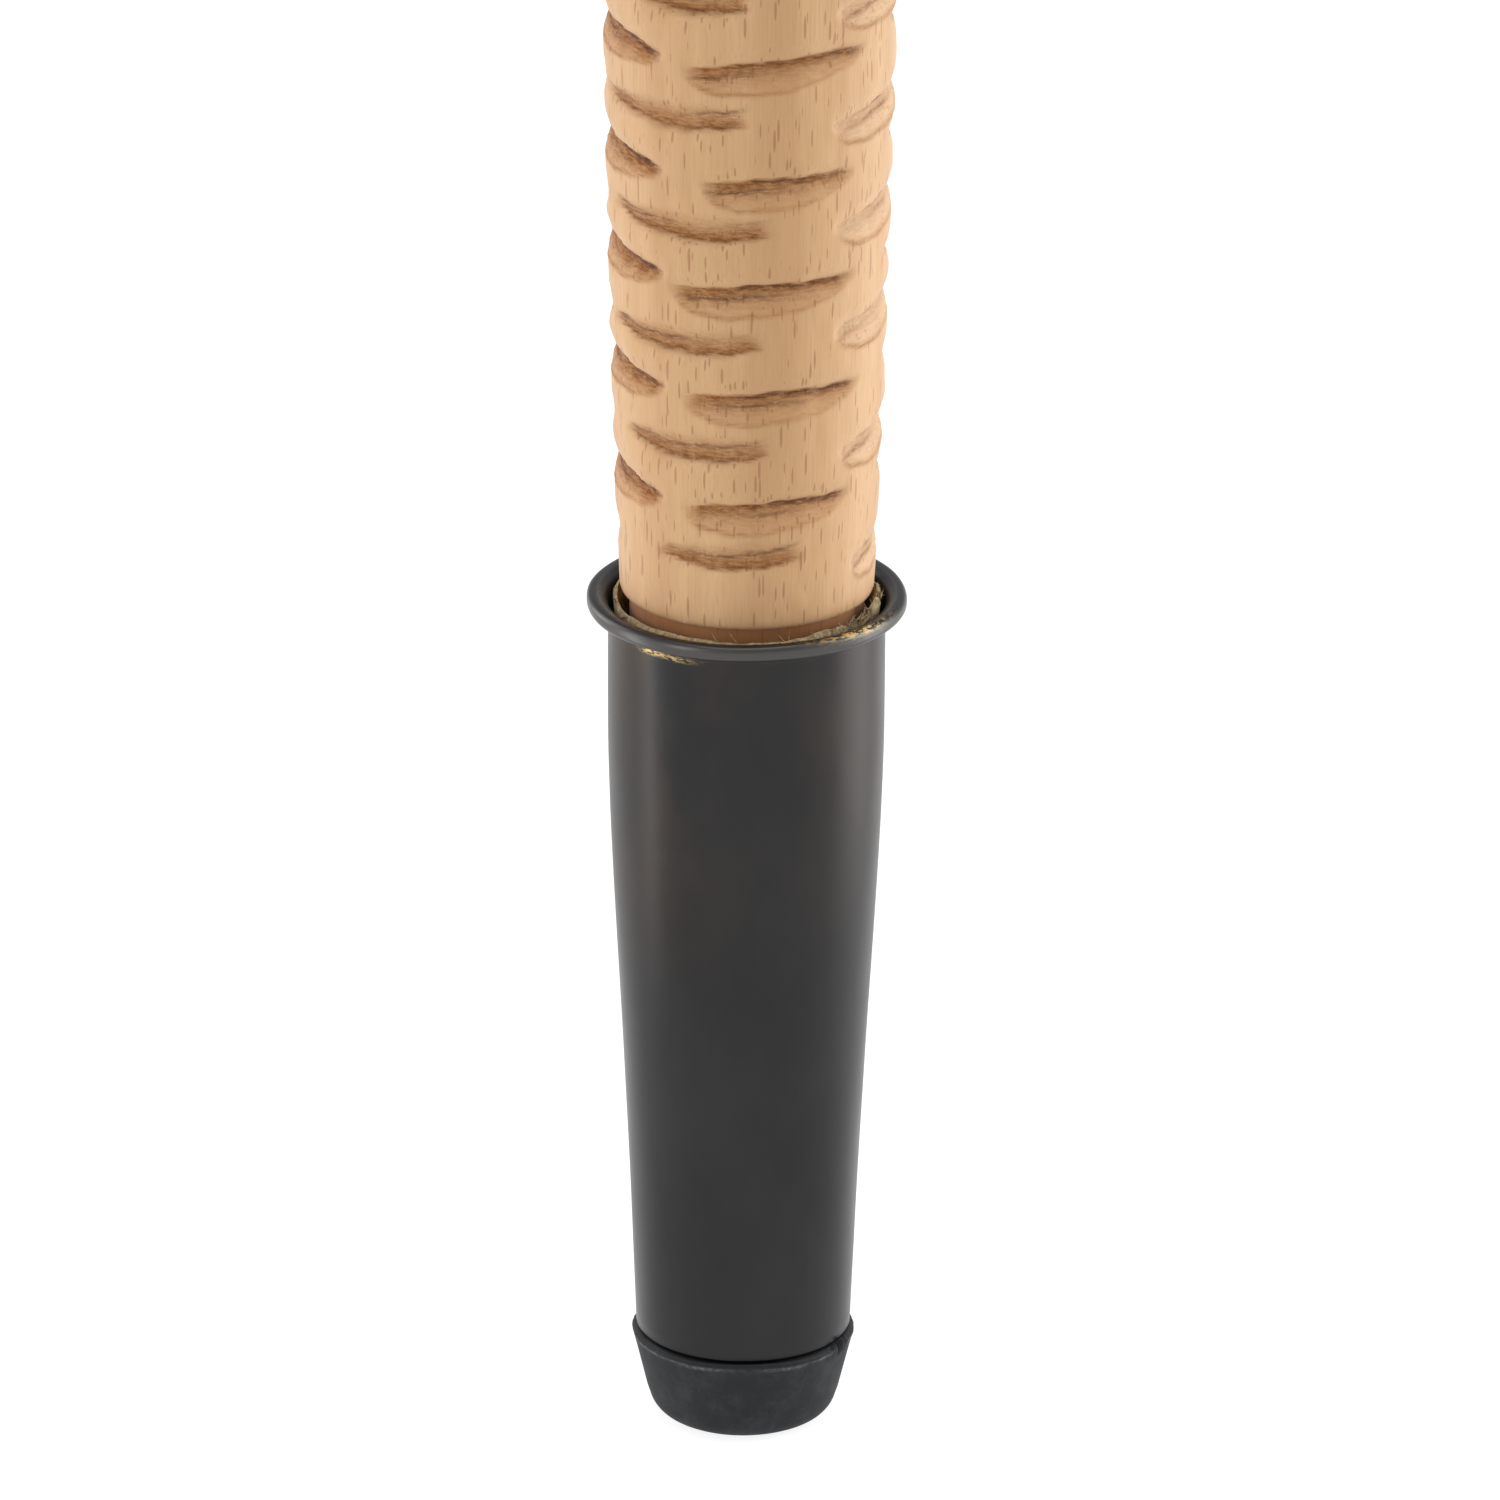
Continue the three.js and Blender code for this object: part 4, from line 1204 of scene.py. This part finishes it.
def make_cover():
    """The leather: a skirt puckered by its tacks, a seam under the piping, and a crowned top."""
    line, out, along = pad_outline(*COVER_EDGE)
    pucker = np.sin(along / along[-1] * 2 * np.pi * TACK_COUNT)
    slack = ring_noise(len(line), 22, 61)
    rows = []
    for t in np.linspace(0, 1, 12):
        rows.append((0.5 * math.sin(math.pi * t), 0.0, -SKIRT + t * (PIPING_UP + SKIRT - 0.6), t))
    rows.append((-0.9, 0.0, PIPING_UP, 1.0))
    for t in np.linspace(0.04, 1, 26):
        rows.append((0.5 * (1 - t), t, PIPING_UP + 0.4 + (PAD_THICK - PIPING_UP - 0.4) * crown(t), None))
    rings = []
    for outset, share, height, skirt in rows:
        ring = dome_ring(line, out, outset, share, height)
        if skirt is not None:
            swell = 0.28 * pucker * (1 - skirt) ** 1.5 + 0.22 * slack * math.sin(math.pi * skirt)
            ring[:, :2] += out * swell[:, None]
            ring[:, 2] += 0.35 * slack * (1 - skirt)
        else:
            ring[:, 2] += 0.35 * slack * math.sin(math.pi * share)
        rings.append(ring)
    cover = open_skin("pad_leather", rings)
    thick = cover.modifiers.new("hide", "SOLIDIFY")
    thick.thickness = (COVER_THICK - 0.2) * MM
    thick.offset = -1
    apply_modifiers(cover)
    points = points_of(cover)
    over = points[:, 2] - bar_top(points[:, 0])
    rim = bell(over + SKIRT, 1.4) + 0.55 * bell(over - PIPING_UP - 3.5, 2.2)
    attribute(cover, "worn", unit(rim))
    shade(cover, 60)
    return cover


def tube_along(name, path, r, sides, closed=True):
    """A tube through points, closed on itself or capped."""
    path = np.asarray(path, float)
    ahead = np.roll(path, -1, 0) - np.roll(path, 1, 0)
    if not closed:
        ahead[0], ahead[-1] = path[1] - path[0], path[-1] - path[-2]
    ahead /= np.linalg.norm(ahead, axis=1)[:, None]
    side = np.cross(ahead, (0, 0, 1.0))
    side /= np.linalg.norm(side, axis=1)[:, None]
    up = np.cross(side, ahead)
    turn = circle(sides)[None, :, None]
    rings = path[:, None] + r * (np.cos(turn) * side[:, None] + np.sin(turn) * up[:, None])
    return rings_object(name, rings, "joined" if closed else "capped", 60)


def make_piping():
    line, out, _ = pad_outline(*COVER_EDGE)
    piping = tube_along("pad_piping", dome_ring(line, out, 0.15, 0.0, PIPING_UP), 1.25, sides=12)
    attribute(piping, "worn", np.full(len(piping.data.vertices), 0.35))
    return piping


def make_stitches():
    """A row of stitches in the side band, just under the piping."""
    line, out, _ = pad_outline(*COVER_EDGE, STITCH_COUNT * 6)
    parts = []
    for number in range(STITCH_COUNT):
        span = range(number * 6, number * 6 + 5)
        path = []
        for k, index in enumerate(span):
            arch = math.sin(math.pi * k / 4)
            place = line[index] + out[index] * (0.25 + 0.32 * arch)
            path.append((*place, float(bar_top(place[0])) + PIPING_UP - 2.6))
        parts.append(tube_along("stitch", path, 0.3, sides=6, closed=False))
    return merged_object("pad_stitches", parts)


def make_tacks():
    """Domed tacks along the skirt's lower edge."""
    line, out, _ = pad_outline(*COVER_EDGE, TACK_COUNT * 8)
    head = [(0.02, 1.55), (0.8, 1.48), (1.5, 1.2), (2.1, 0.72), (2.4, 0.2), (2.4, 0.0)]
    shank = [(0.7, -0.1), (0.6, -4.0), (0.02, -5.0)]
    parts = []
    for number in range(TACK_COUNT):
        index = number * 8 + 2
        tack = turned("tack", head + shank, 18, "capped", "X")
        direction = Vector((*out[index], 0))
        place = line[index] + out[index] * 0.2
        height = float(bar_top(place[0])) - SKIRT + 3.4
        turn = direction.to_track_quat("X", "Z").to_matrix().to_4x4()
        tack.data.transform(Matrix.Translation(Vector((*place, height)) * MM) @ turn)
        parts.append(tack)
    return merged_object("pad_tacks", parts)


def make_stuffing():
    inset = COVER_THICK + 0.5
    line, out, _ = pad_outline(PAD_REACH - inset - 0.5, PAD_DEEP / 2 - inset, 5.0, 180)
    rows = [(-2.0, 1.0, 0.3), (-0.6, 0.0, 0.35), (0.0, 0.0, 0.9), (0.0, 0.0, PIPING_UP)]
    for t in np.linspace(0.05, 1, 12):
        rows.append((0.0, t, PIPING_UP + (PAD_THICK - inset - PIPING_UP) * crown(t)))
    return open_skin("pad_stuffing", [dome_ring(line, out, *row, STUFFING_SPINE) for row in rows])


cover = finish_piece(make_cover(), "frame", saddle_leather(), "pad_cover")
finish_piece(make_piping(), "frame", cover.data.materials[0])
finish_piece(make_stitches(), "frame", linen_thread())
finish_piece(make_tacks(), "frame", tack_brass())
stuffing = finish_piece(make_stuffing(), "frame", felted_hair(), "pad_core")


# ---- Screws ----
def make_tip_screw():
    """The wood screw up through the tip, its slotted pan head in the tip's recess."""
    angle = circle(36)
    places, radius = threaded_rows(14.0, SCREW_TOP_Z - 1.5, SCREW_R, angle, pitch=1.8, depth=0.6)
    point = np.clip((SCREW_TOP_Z - places) / 5, 0.15, 1)
    rows = [(0.3, 0.72), (2.2, 0.75), (3.1, 1.0), (3.5, 1.45), (3.6, 1.9), (3.55, 2.3)]
    rows += [(SCREW_R, 2.3), (SCREW_R - 0.05, 13.0)]
    rows += [*zip(radius * point[:, None], places), (0.02, SCREW_TOP_Z)]
    screw = turned("tip_wood_screw", rows, len(angle), "capped", smooth_below=50)
    cut_out(screw, box_cutter(5, 0.5, 0.2, 1.55))
    shade(screw, 40)
    return screw


finish_piece(make_tip_screw(), "leg", STEEL, "tip_screw")
washer = turned("tip_flat_washer", [
    (2.3, 2.7), (2.5, 2.6), (4.4, 2.6), (4.6, 2.7), (4.6, 3.5), (4.4, 3.6), (2.5, 3.6), (2.3, 3.5),
], around=60)
finish_piece(washer, "leg", STEEL, "tip_washer")
for _, word in SIDES:
    coat(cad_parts[f"bar_screw_{word}"], STEEL)


# ---- Floor and light ----
def make_floor():
    mesh = bpy.data.meshes.new("floor")
    shape = bmesh.new()
    bmesh.ops.create_circle(shape, cap_ends=True, segments=96, radius=FLOOR_R)
    shape.to_mesh(mesh)
    shape.free()
    floor = placed("floor", mesh)
    m = Material("floor_white")
    paper = m.noise(m.place(), 0.02, detail=2)
    white = m.mix(paper, (0.2, 0.2, 0.2), (0.22, 0.22, 0.22))
    m.set(Base_Color=white, Roughness=0.9, Specular_IOR_Level=0.0)
    m.set(Emission_Color=(1, 1, 1, 1), Emission_Strength=FLOOR_GLOW)
    coat(floor, m.material)


def area_light(name, size, place, target, power):
    light = bpy.data.lights.new(name, "AREA")
    light.shape = "RECTANGLE"
    light.size, light.size_y = size
    light.energy = power
    obj = placed(name, light)
    obj.location = place
    obj.rotation_euler = (Vector(target) - Vector(place)).to_track_quat("-Z", "Y").to_euler()


def light_scene():
    world = bpy.data.worlds.new("studio")
    world.use_nodes = True
    background = world.node_tree.nodes["Background"]
    background.inputs["Color"].default_value = (1, 1, 1, 1)
    background.inputs["Strength"].default_value = WORLD_GLOW
    bpy.context.scene.world = world
    for light in LIGHTS:
        area_light(*light)
    bpy.context.scene.view_settings.view_transform = "Standard"


make_floor()
light_scene()

bpy.context.view_layer.update()
